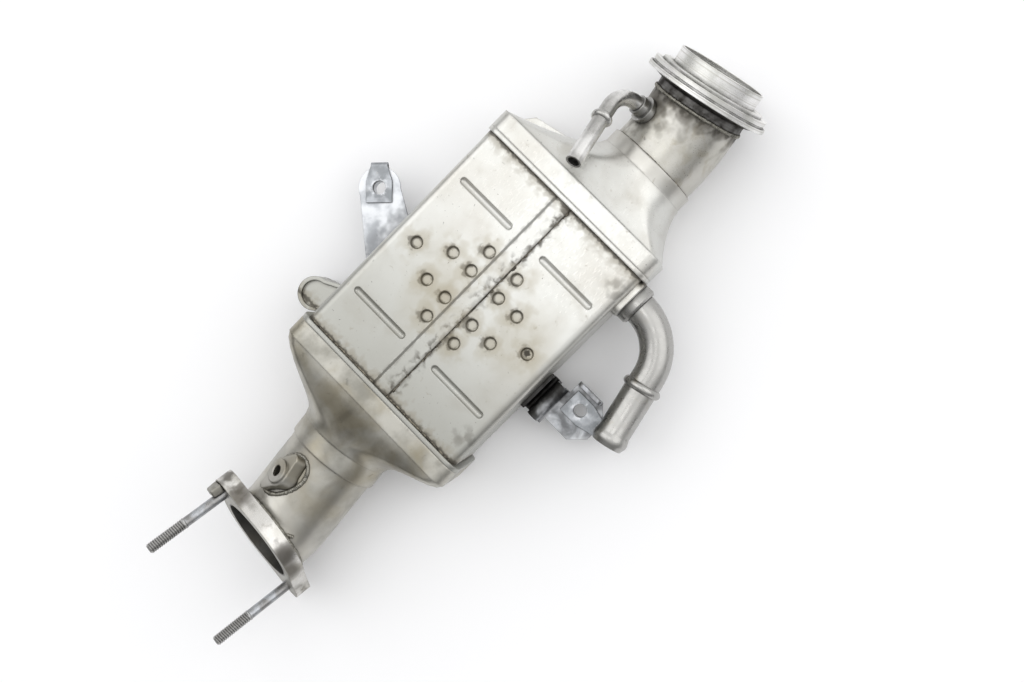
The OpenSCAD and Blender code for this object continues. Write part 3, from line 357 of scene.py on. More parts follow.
    def done(self, metallic=1.0):
        """Puts the shader together and hands over the material."""
        edge = add(self.tree, "ShaderNodeBevel", {"samples": 6}, {"Radius": self.edge_mm * MM}).outputs[0]
        relief = {"Strength": 0.6, "Distance": self.bump_mm * MM, "Height": self.height, "Normal": edge}
        bump = add(self.tree, "ShaderNodeBump", None, relief).outputs["Normal"]
        look = {"Base Color": self.colour, "Metallic": metallic, "Roughness": self.rough, "Normal": bump}
        shader = add(self.tree, "ShaderNodeBsdfPrincipled", None, {**look, **self.sheen})
        add(self.tree, "ShaderNodeOutputMaterial", None, {"Surface": shader.outputs[0]})
        return self.material


def on_shell(x, y, side=1, proud=0):
    """A point on a flat face of the shell or proud of it, in millimetres from the shell's middle."""
    return SHELL + Vector((x * MM, y * MM, side * (SHELL_HALF.z + proud * MM)))


def soil_pressings(m, c):
    """Leaves braze along the shell's joints, rings round its dimples, one plugged dimple and some scuffs."""
    for end in (-1, 1):
        joint = SHELL.x + end * (SHELL_HALF.x - 0.6 * MM)
        m.soil(m.band((1, 0, 0), joint, 0.2 * MM, 6 * MM, 4, 0.5), c.stain, 0.5, 0.6)
        m.soil(m.band((1, 0, 0), joint, 0.3 * MM, 1.8 * MM, 2.5, 0.6), c.soot, 0.6, 0.6)
    for edge, wide, strength in ((LAP_EDGE, 2.2, 0.4), (-LAP_EDGE + 0.8 * MM, 1.8, 0.35)):
        m.soil(m.band((0, 1, 0), SHELL.y + edge, 0.2 * MM, wide * MM, 3, 0.6), c.residue, 0.55, strength)
    # Flecks of filler on the lap strip, thickest by its open edge
    strip = m.band((0, 1, 0), SHELL.y + LAP_EDGE + 0.5 * MM, 0.5 * MM, 5 * MM, 4, 0.4)
    m.soil(strip, c.residue, 0.6, 0.7, within=m.patches(4, 0.47, 0.68, distortion=0.5))
    # A straw-coloured halo lies round each dimple, and a crescent of painted shade with some grime at one
    # side of it
    dimples = [on_shell(x, y, side) for x, y in DIMPLES for side in (-1, 1)]
    pressed = m.nearest(dimples)
    m.soil(m.ragged(pressed, 2.6 * MM, 11 * MM, 7, 0.4), c.straw, 0.42, 0.4)
    shifted = m.nearest([dimple + Vector((-0.5, 1.2, 0)) * MM for dimple in dimples])
    crescent = {
        0: m.ragged(shifted, 2.7 * MM, 4.4 * MM, 3, 0.3),
        1: m.ragged(pressed, 2.1 * MM, 2.8 * MM, 2, 0.1),
    }
    # Painted shade on the side of each dimple's wall that faces away from the light
    grime_and_shade = add(m.tree, "ShaderNodeMath", {"operation": "SUBTRACT", "use_clamp": True}, crescent)
    m.soil(grime_and_shade.outputs[0], c.residue, 0.6, 0.55)
    # Old coolant has left straw-coloured clouds on each flat face
    clouds = [on_shell(x, y, side) for x, y in COOLANT_CLOUDS for side in (-1, 1)]
    m.soil(m.ragged(m.nearest(clouds), 2 * MM, 30 * MM, 18, 0.4), c.straw, 0.4, 0.28)
    plug = on_shell(*PLUGGED_DIMPLE, proud=-1.2)
    m.soil(m.ragged(m.nearest([plug]), 0.9 * MM, 2.2 * MM, 2, 0.5), c.soot, 0.6, 0.85)
    scuffs = [on_shell(x, y) for x, y in SCUFFS]
    m.soil(m.ragged(m.nearest(scuffs), 0.5 * MM, 6 * MM, 5, 0.6), c.residue, 0.5, 0.4)


def sheet_steel(c, name, edge_mm, pressed):
    """Pickled stainless rolled to a satin: pale, darker to the outlet end, grime and painted shade in its
    pressings.
    """
    m = Metal(name, c.sheet, c.sheet_cloud, 0.32, 34, drawn_out=4, bump_mm=0.015, edge_mm=edge_mm)
    # Darker towards the outlet end
    outlet_end = m.fade((1, 0, 0), SHELL.x - 1.1 * SHELL_HALF.x, SHELL.x + 0.7 * SHELL_HALF.x, (1, 0))
    m.soil(outlet_end, c.sheet_outlet_end, 0.38, 0.9)
    # The inlet's socket takes on the tint of the neck pipe
    m.soil(m.fade((1, 0, 0), SHELL.x + 99 * MM, SHELL.x + 116 * MM), c.tinted, 0.36, 0.9)
    m.spots(22, 0.5, 0.78, c.stain, strength=0.3)
    m.spots(3.5, 0.64, 0.78, c.stain, 0.5, 0.45)
    m.spots(1.4, 0.69, 0.76, c.soot, 0.6, 0.6)
    if pressed:
        soil_pressings(m, c)
    m.crevice_grime_and_shade(2.5, c.residue, 0.45, 0.95, 0.4)
    m.dents(14, 0.1)
    return m.done()


def dulled_steel(c):
    """Stainless that exhaust heat has dulled: olive grey, cloudy, straw-tinted, with scale and painted shade
    at the welds.
    """
    m = Metal("Heat-dulled stainless", c.dulled, c.dulled_cloud, 0.36, 20, bump_mm=0.03, edge_mm=1.3)
    m.spots(26, 0.42, 0.72, c.straw, strength=0.6)
    m.spots(17, 0.5, 0.74, c.residue, 0.45, 0.4)
    m.spots(4, 0.62, 0.80, c.soot, 0.5, 0.3)
    # The outlet's pipe is paler than its cone, and a paler band a little way behind the stud flange is a
    # painted highlight
    m.soil(m.fade((1, 0, 0), SHELL.x - 118 * MM, SHELL.x - 102 * MM, (1, 0)), c.sheet_cloud, 0.34, 0.25)
    # Painted highlight: a paler band on the elbow behind the stud flange
    m.soil(m.band(STUD_AXIS, -17 * MM, 2 * MM, 12 * MM, 12, 0.5), c.sheet_cloud, 0.32, 0.5)
    m.crevice_grime_and_shade(4, c.soot, 0.4, 0.92, 0.75)
    m.dents(12, 0.12)
    return m.done()


def tinted_steel(c):
    """Stainless pipe with a faint heat tint that darkens to soot at the flange weld."""
    m = Metal("Heat-tinted pipe", c.tinted, c.dulled, 0.32, 16, bump_mm=0.02)
    m.spots(9, 0.5, 0.78, c.straw, strength=0.5)
    m.spots(2.5, 0.64, 0.78, c.soot, 0.5, 0.4)
    low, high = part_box("pressure_pipe_collar")
    m.soil(m.ragged(m.nearest([(low + high) / 2]), 5 * MM, 18 * MM, 6, 0.4), c.residue, 0.5, 0.65)
    m.soil(m.band(CLAMP_AXIS, RIM_START - 5 * MM, 1 * MM, 17 * MM, 8, 0.5), c.residue, 0.5, 0.8)
    m.soil(m.band(CLAMP_AXIS, RIM_START - 5 * MM, 1 * MM, 7 * MM, 4, 0.5), c.soot, 0.55, 0.75)
    m.crevice_grime_and_shade(4, c.soot, 0.4, 0.9, 0.6)
    m.dents(10, 0.08)
    return m.done()


def turned_steel(c):
    """Clamp flange from the lathe: rings about its bore break up the gloss, and soot lies behind its rims."""
    m = Metal("Turned flange steel", c.turned, c.sheet, 0.3, 14, bump_mm=0.012)
    along = add(m.tree, "ShaderNodeVectorMath", {"operation": "DOT_PRODUCT"}, {0: m.place, 1: CLAMP_AXIS})
    marks = {"W": along.outputs["Value"], "Scale": TOOL_MARKS}
    rings = add(m.tree, "ShaderNodeTexNoise", {"noise_dimensions": "1D"}, marks).outputs["Fac"]
    deeper = {0: rings, 1: 3, 2: m.height}
    m.height = add(m.tree, "ShaderNodeMath", {"operation": "MULTIPLY_ADD"}, deeper).outputs[0]
    levels = {"Value": rings, "From Min": 0.48, "From Max": 0.68}
    worn = add(m.tree, "ShaderNodeMapRange", SMOOTH, levels).outputs["Result"]
    m.soil(worn, c.dulled, 0.4, 0.55)
    # The marks run round the bore, so highlights fan out across them
    spoke = add(m.tree, "ShaderNodeVectorMath", {"operation": "SUBTRACT"}, {0: m.place, 1: CLAMP_JOINT})
    sides = {0: CLAMP_AXIS, 1: spoke.outputs[0]}
    around = add(m.tree, "ShaderNodeVectorMath", {"operation": "CROSS_PRODUCT"}, sides).outputs[0]
    m.sheen = {"Anisotropic": 0.75, "Tangent": around}
    m.spots(11, 0.5, 0.78, c.dulled, 0.36, 0.35)
    behind = m.fade(CLAMP_AXIS, RIM_START - 1.2 * MM, RIM_START + 0.2 * MM, (1, 0))
    m.soil(behind, c.soot, 0.5, within=m.patches(5, 0.3, 0.7, (0.8, 1)))
    m.crevice_grime_and_shade(3, c.soot, 0.4, 0.92, 0.85)
    return m.done()


def milled_steel(c):
    """Stud flange: milled rim with brown heat stains, a sealing face darkened by soot and painted shade, and
    a sooted bore.
    """
    m = Metal("Milled flange steel", c.flange, c.tinted, 0.22, 12, bump_mm=0.015)
    m.spots(14, 0.44, 0.66, c.straw, 0.36, 0.3)
    burnt = [SHELL + Vector(place) * MM for place in BURNT_PATCHES]
    m.soil(m.ragged(m.nearest(burnt), 2 * MM, 11 * MM, 9, 0.3), c.residue, 0.4, 0.8)
    m.spots(4, 0.58, 0.76, c.soot, 0.5, 0.3)
    ears = m.outwards(STUD_AXIS, 28 * MM, 37 * MM)
    m.soil(ears, c.residue, 0.45, 0.7, within=m.patches(5, 0.35, 0.65, detail=2))
    # Painted shade with some soot: the sealing face is darker
    m.soil(m.fade(STUD_AXIS, -0.6 * MM, -0.1 * MM), c.dulled_cloud, 0.5, 0.7)
    m.soil(m.outwards(STUD_AXIS, 23.2 * MM, 24.4 * MM, (1, 0)), c.soot, 0.45, 0.75)
    m.crevice_grime_and_shade(3, c.soot, 0.4, 0.9, 0.6)
    return m.done()


def drawn_pipe(c, name, tone):
    """Drawn stainless pipe: smooth and clean, with a few stains, and grime and painted shade at its roots."""
    # Drawing leaves no grain that shows, only slow changes of gloss
    m = Metal(name, tone, c.drawn, 0.28, 14, grain_mm=4, bump_mm=0.01)
    m.spots(8, 0.58, 0.8, c.straw, 0.4, 0.4)
    m.spots(2.5, 0.68, 0.78, c.soot, 0.5, 0.4)
    m.crevice_grime_and_shade(3.5, c.soot, 0.4, 0.92, 0.75)
    return m.done()


def zinc_plate(c, name, grime_and_shade):
    """Zinc-plated sheet: cool and bright with dull passivated clouds, darkened towards the shell by soot and
    painted shade.
    """
    m = Metal(name, c.zinc, c.zinc_dull, 0.36, 9, bump_mm=0.02)
    # More dark spots on the darker copy: soot and painted shade
    m.spots(7, 0.64 - 0.4 * grime_and_shade, 0.8 - 0.1 * grime_and_shade, c.soot, 0.5, 0.35 + 0.3 * grime_and_shade)
    # Soot and painted shade where the bracket meets the shell wall
    root = m.band((0, 1, 0), SHELL.y, SHELL_HALF.y + 6 * MM, SHELL_HALF.y + 16 * MM, 9, 0.06)
    m.soil(root, c.soot, 0.5, 0.4 + 0.45 * grime_and_shade)
    m.crevice_grime_and_shade(4, c.soot, 0.4, 0.9, 0.6)
    return m.done()


def spring_steel(c):
    """Phosphated clip nut: even mid grey and matt, paler round its hole."""
    m = Metal("Phosphated spring steel", c.spring, c.zinc_dull, 0.4, 6, bump_mm=0.015)
    m.spots(3, 0.62, 0.76, c.thread, 0.5, 0.4)
    holes = [Vector(MOUNTS[name]["pos_m"]) for name in ("left_clip_thread", "right_clip_thread")]
    # Paler ring round each hole
    m.soil(m.ragged(m.nearest(holes), 5.2 * MM, 7 * MM, 3, 0.15), c.zinc, 0.3, 0.8)
    m.crevice_grime_and_shade(3, c.soot, 0.4, 0.9, 0.6)
    return m.done()


def stud_steel(c):
    """Plated stud: a grey shank, and a brighter thread with soot and painted shade in its grooves."""
    s = bpy.context.scene.cooler_sizes
    m = Metal("Plated stud steel", c.shank, c.zinc_dull, 0.3, 5, bump_mm=0.01, edge_mm=0.1)
    m.soil(m.fade(STUD_AXIS, s.shank_l - 1.5 * MM, s.shank_l + 1.5 * MM), c.thread, 0.35, 0.9)
    # Soot and painted shade: the deeper the groove, the darker
    cut = add(m.tree, "ShaderNodeAttribute", {"attribute_name": "thread_cut"}).outputs["Fac"]
    levels = {"Value": cut, "From Min": 0.35, "From Max": 0.95}
    groove = add(m.tree, "ShaderNodeMapRange", SMOOTH, levels).outputs["Result"]
    m.soil(groove, c.soot, 0.6, 0.7)
    m.spots(3, 0.58, 0.76, c.soot, 0.6, 0.3)
    return m.done()


def weld_metal(c):
    """Weld metal: grey, cloudy and lightly scaled."""
    m = Metal("Weld metal", c.weld, c.dulled_cloud, 0.4, 4, bump_mm=0.02)
    m.spots(3, 0.46, 0.66, c.soot, 0.6, 0.5)
    return m.done()


def braze_residue(c):
    """Braze filler and flux left along a joint: dull, grainy and brownish."""
    m = Metal("Braze residue", c.residue, c.stain, 0.65, 2.5, bump_mm=0.06, edge_mm=0.1)
    m.spots(1.6, 0.5, 0.65, c.soot, 0.8, 0.7)
    return m.done(metallic=0.35)


def core_steel(c):
    """Gas tubes and fins: dull furnace-brazed stainless."""
    m = Metal("Furnace-brazed core", c.dulled, c.dulled_cloud, 0.45, 9, edge_mm=0.1)
    m.spots(5, 0.5, 0.7, c.soot, 0.6, 0.6)
    return m.done()


def smooth_tree():
    """Geometry nodes that close a solid's loose triangles and shade it smooth up to its real edges."""
    tree = bpy.data.node_groups.new("Smooth to real edges", "GeometryNodeTree")
    tree.interface.new_socket("Geometry", in_out="INPUT", socket_type="NodeSocketGeometry")
    angle = tree.interface.new_socket("Edge angle", in_out="INPUT", socket_type="NodeSocketFloat")
    angle.default_value = math.radians(28)
    tree.interface.new_socket("Geometry", in_out="OUTPUT", socket_type="NodeSocketGeometry")
    start = add(tree, "NodeGroupInput").outputs
    merged = add(tree, "GeometryNodeMergeByDistance", None, {"Geometry": start[0], "Distance": 1e-6})
    faces = add(tree, "GeometryNodeSetShadeSmooth", None, {0: merged.outputs[0], "Shade Smooth": True})
    bend = add(tree, "GeometryNodeInputMeshEdgeAngle").outputs["Unsigned Angle"]
    below = {"data_type": "FLOAT", "operation": "LESS_THAN"}
    soft = add(tree, "FunctionNodeCompare", below, {0: bend, 1: start["Edge angle"]}).outputs[0]
    shaded = {0: faces.outputs[0], "Shade Smooth": soft}
    edges = add(tree, "GeometryNodeSetShadeSmooth", {"domain": "EDGE"}, shaded)
    add(tree, "NodeGroupOutput", None, {0: edges.outputs[0]})
    return tree


def path_tree(name, inputs):
    """An empty geometry tree that takes a path, named inputs and a metal, and gives a mesh."""
    tree = bpy.data.node_groups.new(name, "GeometryNodeTree")
    tree.interface.new_socket("Path", in_out="INPUT", socket_type="NodeSocketGeometry")
    for label, kind in inputs.items():
        tree.interface.new_socket(label, in_out="INPUT", socket_type="NodeSocket" + kind)
    tree.interface.new_socket("Metal", in_out="INPUT", socket_type="NodeSocketMaterial")
    tree.interface.new_socket("Mesh", in_out="OUTPUT", socket_type="NodeSocketGeometry")
    return tree


def bead_tree():
    """Geometry nodes for a weld bead: overlapping flat ripples along a path."""
    tree = path_tree("Weld bead", {"Spacing": "Float", "Half width": "Float", "Seed": "Int"})
    start = add(tree, "NodeGroupInput").outputs
    line = add(tree, "GeometryNodeMeshToCurve", None, {0: start["Path"]})
    spaced = {"Curve": line.outputs[0], "Length": start["Spacing"]}
    steps = add(tree, "GeometryNodeCurveToPoints", {"mode": "LENGTH"}, spaced)
    ball = add(tree, "GeometryNodeMeshIcoSphere", None, {"Radius": start["Half width"], "Subdivisions": 2})
    limits = {0: (0.75, 0.75, 0.6), 1: (1.1, 1.1, 0.85), "Seed": start["Seed"]}
    size = add(tree, "FunctionNodeRandomValue", {"data_type": "FLOAT_VECTOR"}, limits)
    laid = {
        "Points": steps.outputs["Points"],
        "Instance": ball.outputs[0],
        "Rotation": steps.outputs["Rotation"],
        "Scale": size.outputs[0],
    }
    ripples = add(tree, "GeometryNodeInstanceOnPoints", None, laid)
    solid = add(tree, "GeometryNodeRealizeInstances", None, {0: ripples.outputs[0]})
    soft = add(tree, "GeometryNodeSetShadeSmooth", None, {0: solid.outputs[0]})
    dressed = add(tree, "GeometryNodeSetMaterial", None, {0: soft.outputs[0], "Material": start["Metal"]})
    add(tree, "NodeGroupOutput", None, {0: dressed.outputs[0]})
    return tree


def residue_tree():
    """Geometry nodes for a run of braze residue: a thin rod along a path that swells and shrinks."""
    tree = path_tree("Braze residue run", {"Radius": "Float", "Roughness": "Float", "Grain": "Float"})
    start = add(tree, "NodeGroupInput").outputs
    line = add(tree, "GeometryNodeMeshToCurve", None, {0: start["Path"]})
    spaced = {"Curve": line.outputs[0], "Length": 0.5 * MM}
    fine = add(tree, "GeometryNodeResampleCurve", {"mode": "LENGTH"}, spaced)
    circle = {"Resolution": 8, "Radius": start["Radius"]}
    section = add(tree, "GeometryNodeCurvePrimitiveCircle", None, circle)
    swept = {"Curve": fine.outputs[0], "Profile Curve": section.outputs[0], "Fill Caps": True}
    rod = add(tree, "GeometryNodeCurveToMesh", None, swept)
    lumps = add(tree, "ShaderNodeTexNoise", None, {"Scale": start["Grain"], "Detail": 4.0})
    swing = add(tree, "ShaderNodeMath", {"operation": "SUBTRACT"}, {0: lumps.outputs["Fac"], 1: 0.5})
    sizes = {0: swing.outputs[0], 1: start["Roughness"]}
    swell = add(tree, "ShaderNodeMath", {"operation": "MULTIPLY"}, sizes)
    way = {0: add(tree, "GeometryNodeInputNormal").outputs[0], "Scale": swell.outputs[0]}
    out = add(tree, "ShaderNodeVectorMath", {"operation": "SCALE"}, way)
    lumpy = add(tree, "GeometryNodeSetPosition", None, {0: rod.outputs[0], "Offset": out.outputs[0]})
    soft = add(tree, "GeometryNodeSetShadeSmooth", None, {0: lumpy.outputs[0]})
    whole = add(tree, "GeometryNodeRealizeInstances", None, {0: soft.outputs[0]})
    dressed = add(tree, "GeometryNodeSetMaterial", None, {0: whole.outputs[0], "Material": start["Metal"]})
    add(tree, "NodeGroupOutput", None, {0: dressed.outputs[0]})
    return tree


def grown(name, paths, tree, values):
    """Runs a geometry tree on paths, keeps the result as a plain mesh, and fixes it to the cooler."""
    verts, edges = [], []
    for points, closed in paths:
        first, count = len(verts), len(points)
        verts += points
        edges += [(first + i, first + (i + 1) % count) for i in range(count if closed else count - 1)]
    mesh = bpy.data.meshes.new(name)
    mesh.from_pydata(verts, edges, [])
    piece = bpy.data.objects.new(name, mesh)
    bpy.context.scene.collection.objects.link(piece)
    nodes = piece.modifiers.new(tree.name, "NODES")
    nodes.node_group = tree
    for item in tree.interface.items_tree:
        if item.in_out == "INPUT" and item.name in values:
            nodes[item.identifier] = values[item.name]
    evaluated = piece.evaluated_get(bpy.context.evaluated_depsgraph_get())
    made = bpy.data.meshes.new_from_object(evaluated)
    piece.modifiers.clear()
    piece.data = made
    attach(piece, "root")


def ring(centre, axis, radius):
    """Points of a circle about an axis."""
    count = 160
    turn = axis.to_track_quat("Z", "Y")
    angles = [2 * math.pi * i / count for i in range(count)]
    return [centre + turn @ Vector((radius * math.cos(a), radius * math.sin(a), 0)) for a in angles]


def stud_line(roll):
    """The way from the flange's middle to its upper stud, and the way square to it in the flange's face."""
    up = (Vector((0, 0, 1)) - STUD_AXIS.z * STUD_AXIS).normalized()
    across = math.cos(roll) * up.cross(STUD_AXIS) - math.sin(roll) * up
    if across.z < 0:
        across = -across
    return across, STUD_AXIS.cross(across)


def boss_foot(half_l, half_w):
    """Points where the sensor boss's pad meets the elbow, followed down onto the pipe's round wall."""
    out = OUTLET_WAY.cross(Vector((0, 0, 1)))

    def round_pipe(angle):
        return Vector((0, 0, math.cos(angle))) + math.sin(angle) * out

    middle = OUTLET_MOUTH + OUTLET_WAY * BOSS_ALONG
    seat = middle + NECK_R * round_pipe(BOSS_ROUND)
    face = round_pipe(BOSS_ROUND + BOSS_LEAN)
    long = math.cos(BOSS_TURN) * OUTLET_WAY + math.sin(BOSS_TURN) * OUTLET_WAY.cross(face)
    wide = face.cross(long)
    count = 96
    points = []
    for i in range(count):
        a = 2 * math.pi * i / count
        start = seat + half_l * math.cos(a) * long + half_w * math.sin(a) * wide
        # Solves for the step along the pad's face that brings the point onto the pipe
        gap = start - middle
        gap -= gap.dot(OUTLET_WAY) * OUTLET_WAY
        slope = gap.dot(face)
        past = gap.dot(gap) - NECK_R * NECK_R
        points.append(start + (math.sqrt(max(0, slope * slope - past)) - slope) * face)
    return points


class COOLER_OT_finishes(bpy.types.Operator):
    """Gives every solid its finish and shades it smooth up to its real edges"""

    bl_idname = "cooler.finishes"
    bl_label = "Finish Solids"

    def execute(self, context):
        c = context.scene.cooler_colours
        finish = {
            "stainless_sheet": sheet_steel(c, "Satin stainless sheet", 0.8, True),
            "core_steel": core_steel(c),
            "sooted_steel": dulled_steel(c),
            "tinted_steel": tinted_steel(c),
            "machined_steel": turned_steel(c),
            "pipe_steel": drawn_pipe(c, "Drawn stainless pipe", c.drawn),
            "zinc_steel": zinc_plate(c, "Zinc-plated sheet", 0.0),
            "stud_steel": stud_steel(c),
        }
        own = {
            "stud_flange": milled_steel(c),
            # The right bracket's copy is darker all over: soot and painted shade
            "right_bracket": zinc_plate(c, "Sooted and shaded zinc-plated sheet", 1.0),
            "pressure_pipe": drawn_pipe(c, "Bright drawn pipe", c.bright_pipe),
        }
        # The inlet diffuser and the header plates have rounder edges than the shell
        thick = sheet_steel(c, "Satin stainless plate", 1.4, False)
        for name in ("inlet_diffuser", "inlet_header_plate", "outlet_header_plate"):
            own[name] = thick
        own["left_clip_nut"] = own["right_clip_nut"] = spring_steel(c)
        slots = {s["node"]: s["material_slot"] for s in frame["record"]["subparts"]}
        smooth = smooth_tree()
        for name, solid in frame["nodes"].items():
            material = own.get(name) or finish[slots[name]]
            if not solid.material_slots:
                solid.data.materials.append(material)
            for place in solid.material_slots:
                place.material = material
            solid.modifiers.new(smooth.name, "NODES").node_group = smooth
        return {"FINISHED"}


class COOLER_OT_welds(bpy.types.Operator):
    """Lays weld beads where the necks meet their flanges and round the sensor boss's pad"""

    bl_idname = "cooler.welds"
    bl_label = "Lay Weld Beads"

    def execute(self, context):
        s = context.scene.cooler_sizes
        metal = weld_metal(context.scene.cooler_colours)
        tree = bead_tree()
        clamp_bead = ring(CLAMP_JOINT, CLAMP_AXIS, NECK_R - 0.3 * MM)
        stud_bead = ring(STUD_AXIS * -STUD_WELD_DEPTH, STUD_AXIS, NECK_R + 0.2 * MM)
        spatter = [SHELL + Vector(place) * MM for place in WELD_SPATTER]
        beads = {
            "clamp_flange_weld": [(clamp_bead, True)],
            "stud_flange_weld": [(stud_bead, True), (spatter, False)],
            "sensor_boss_weld": [(boss_foot(s.boss_l / 2, s.boss_w / 2), True)],
        }
        for seed, (name, paths) in enumerate(beads.items()):
            values = {"Spacing": s.weld_spacing, "Half width": s.weld_width, "Seed": seed, "Metal": metal}
            grown(name, paths, tree, values)
        return {"FINISHED"}


class COOLER_OT_lug(bpy.types.Operator):
    """Stands a small cast lug on the stud flange's upper ear"""

    bl_idname = "cooler.lug"
    bl_label = "Add Flange Lug"

    def execute(self, context):
        s = context.scene.cooler_sizes
        across, side = stud_line(s.stud_roll)
        foot = across * (STUD_OUT + s.lug_out)
        body = bmesh.new()
        bmesh.ops.create_cube(body, size=1)
        for v in body.verts:
            # A casting narrows towards its top
            taper = 1 if v.co.z < 0 else 0.85
            flat = taper * (v.co.x * s.lug_w * side + v.co.y * s.lug_t * across)
            v.co = foot + flat + (v.co.z + 0.5) * s.lug_h * STUD_AXIS
        bmesh.ops.recalc_face_normals(body, faces=body.faces)
        edges = list(body.edges)
        bmesh.ops.bevel(body, geom=edges, offset=s.lug_round, segments=3, profile=0.5, affect="EDGES")
        mesh = bpy.data.meshes.new("flange_lug")
        body.to_mesh(mesh)
        body.free()
        mesh.shade_smooth()
        mesh.materials.append(bpy.data.materials["Milled flange steel"])
        lug = bpy.data.objects.new("flange_lug", mesh)
        context.scene.collection.objects.link(lug)
        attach(lug, "root")
        return {"FINISHED"}


class COOLER_OT_residue(bpy.types.Operator):
    """Leaves braze residue along the lap joint, the header joints and the ends of both sockets"""

    bl_idname = "cooler.residue"
    bl_label = "Leave Braze Residue"

    def execute(self, context):
        s = context.scene.cooler_sizes
        metal = braze_residue(context.scene.cooler_colours)
        tree = residue_tree()
        chance = random.Random(7)
        # Each run's paths and its radius
        runs = {}
        step = 2.5 * MM
        for name, side in (("lap_residue_top", 1), ("lap_residue_bottom", -1)):
            xs = [-SHELL_HALF.x + 1 * MM + i * step for i in range(int(SHELL_HALF.x * 2 / step))]
            jitter = [chance.uniform(-0.3, 0.3) * MM for _ in xs]
            z = side * (SHELL_HALF.z + 0.15 * MM)
            edge = [SHELL + Vector((x, LAP_EDGE - 0.1 * MM + j, z)) for x, j in zip(xs, jitter)]
            runs[name] = ([(edge, False)], s.residue_r * 1.2)
        for name, end, size in (("outlet_header_residue", -1, 1.5), ("inlet_header_residue", 1, 0.7)):
            joint = end * (SHELL_HALF.x - 0.2 * MM)
            ys = [(SHELL_HALF.y - 4 * MM) * (i / 20 - 1) for i in range(41)]
            paths = []
            for z in (SHELL_HALF.z + 0.1 * MM, -SHELL_HALF.z - 0.1 * MM):
                xs = [joint - end * chance.uniform(0, 0.3) * MM for _ in ys]
                paths.append(([SHELL + Vector((x, y, z)) for x, y in zip(xs, ys)], False))
            runs[name] = (paths, s.residue_r * size)
        lumps = []
        for x, lump_l in LAP_LUMPS:
            start = on_shell(x, LAP_EDGE / MM, proud=0.1)
            steps = [Vector((i * lump_l / 4, chance.uniform(-0.6, 0.3), 0)) * MM for i in range(5)]
            lumps.append(([start + way for way in steps], False))
        runs["lap_lumps"] = (lumps, s.lump_r)
        inlet_seam = ring(INLET_SOCKET_END, Vector((1, 0, 0)), SEAM_R)
        outlet_seam = ring(OUTLET_SOCKET_END, OUTLET_WAY, SEAM_R)
        runs["inlet_socket_seam"] = ([(inlet_seam, True)], s.residue_r)
        runs["outlet_socket_seam"] = ([(outlet_seam, True)], s.residue_r)
        for name, (paths, radius) in runs.items():
            rough = s.residue_rough * radius / s.residue_r
            values = {"Radius": radius, "Roughness": rough, "Grain": RESIDUE_GRAINS, "Metal": metal}
            grown(name, paths, tree, values)
        return {"FINISHED"}


class COOLER_OT_studs(bpy.types.Operator):
    """Cuts real threads on the flange studs"""

    bl_idname = "cooler.studs"
    bl_label = "Thread Studs"

    def execute(self, context):
        s = context.scene.cooler_sizes
        shank_r = MOUNTS["studs"]["dims"]["stud_r_mm"] * MM
        across, side = stud_line(s.stud_roll)
        sides, per_pitch = 32, 8
        tip = s.shank_l + s.thread_l
        step = s.thread_pitch / per_pitch
        threaded = [s.shank_l + i * step for i in range(int(round(s.thread_l / step)) + 1)]
        stations = [-s.root_l, -0.2 * MM, 0.0, s.shank_l - 0.3 * MM] + threaded

        def radius(z, turn):
            if z < -0.1 * MM:
                return s.thread_r
            if z < s.shank_l:
                return shank_r
            wave = abs(2 * ((z / s.thread_pitch - turn) % 1) - 1)
            start = min(1, (z - s.shank_l) / s.thread_pitch)
            cut = s.thread_r - s.thread_depth * (1 - wave) * start
            return min(cut, s.thread_r - s.stud_chamfer * max(0, 1 - (tip - z) / s.stud_chamfer))

        verts, faces, cuts = [], [], []
        for centre in (across, -across):
            middle = centre * STUD_OUT
            first = len(verts)
            for z in stations:
                grooved = s.shank_l <= z < tip - s.stud_chamfer
                for k in range(sides):
                    a = 2 * math.pi * k / sides
                    r = radius(z, k / sides)
                    verts.append(middle + STUD_AXIS * z + r * (math.cos(a) * across + math.sin(a) * side))
                    cuts.append((s.thread_r - r) / s.thread_depth if grooved else 0)
            for i in range(len(stations) - 1):
                row = first + i * sides
                for k in range(sides):
                    n = (k + 1) % sides
                    faces.append((row + k, row + n, row + sides + n, row + sides + k))
            last = first + (len(stations) - 1) * sides
            faces.append(tuple(first + sides - 1 - k for k in range(sides)))
            faces.append(tuple(last + k for k in range(sides)))
        mesh = bpy.data.meshes.new("threaded_studs")
        mesh.from_pydata(verts, [], faces)
        mesh.attributes.new("thread_cut", "FLOAT", "POINT").data.foreach_set("value", cuts)
        mesh.materials.append(bpy.data.materials["Plated stud steel"])
        studs = bpy.data.objects.new("threaded_studs", mesh)
        context.scene.collection.objects.link(studs)
        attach(studs, "root")
        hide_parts("flange_studs")
        return {"FINISHED"}


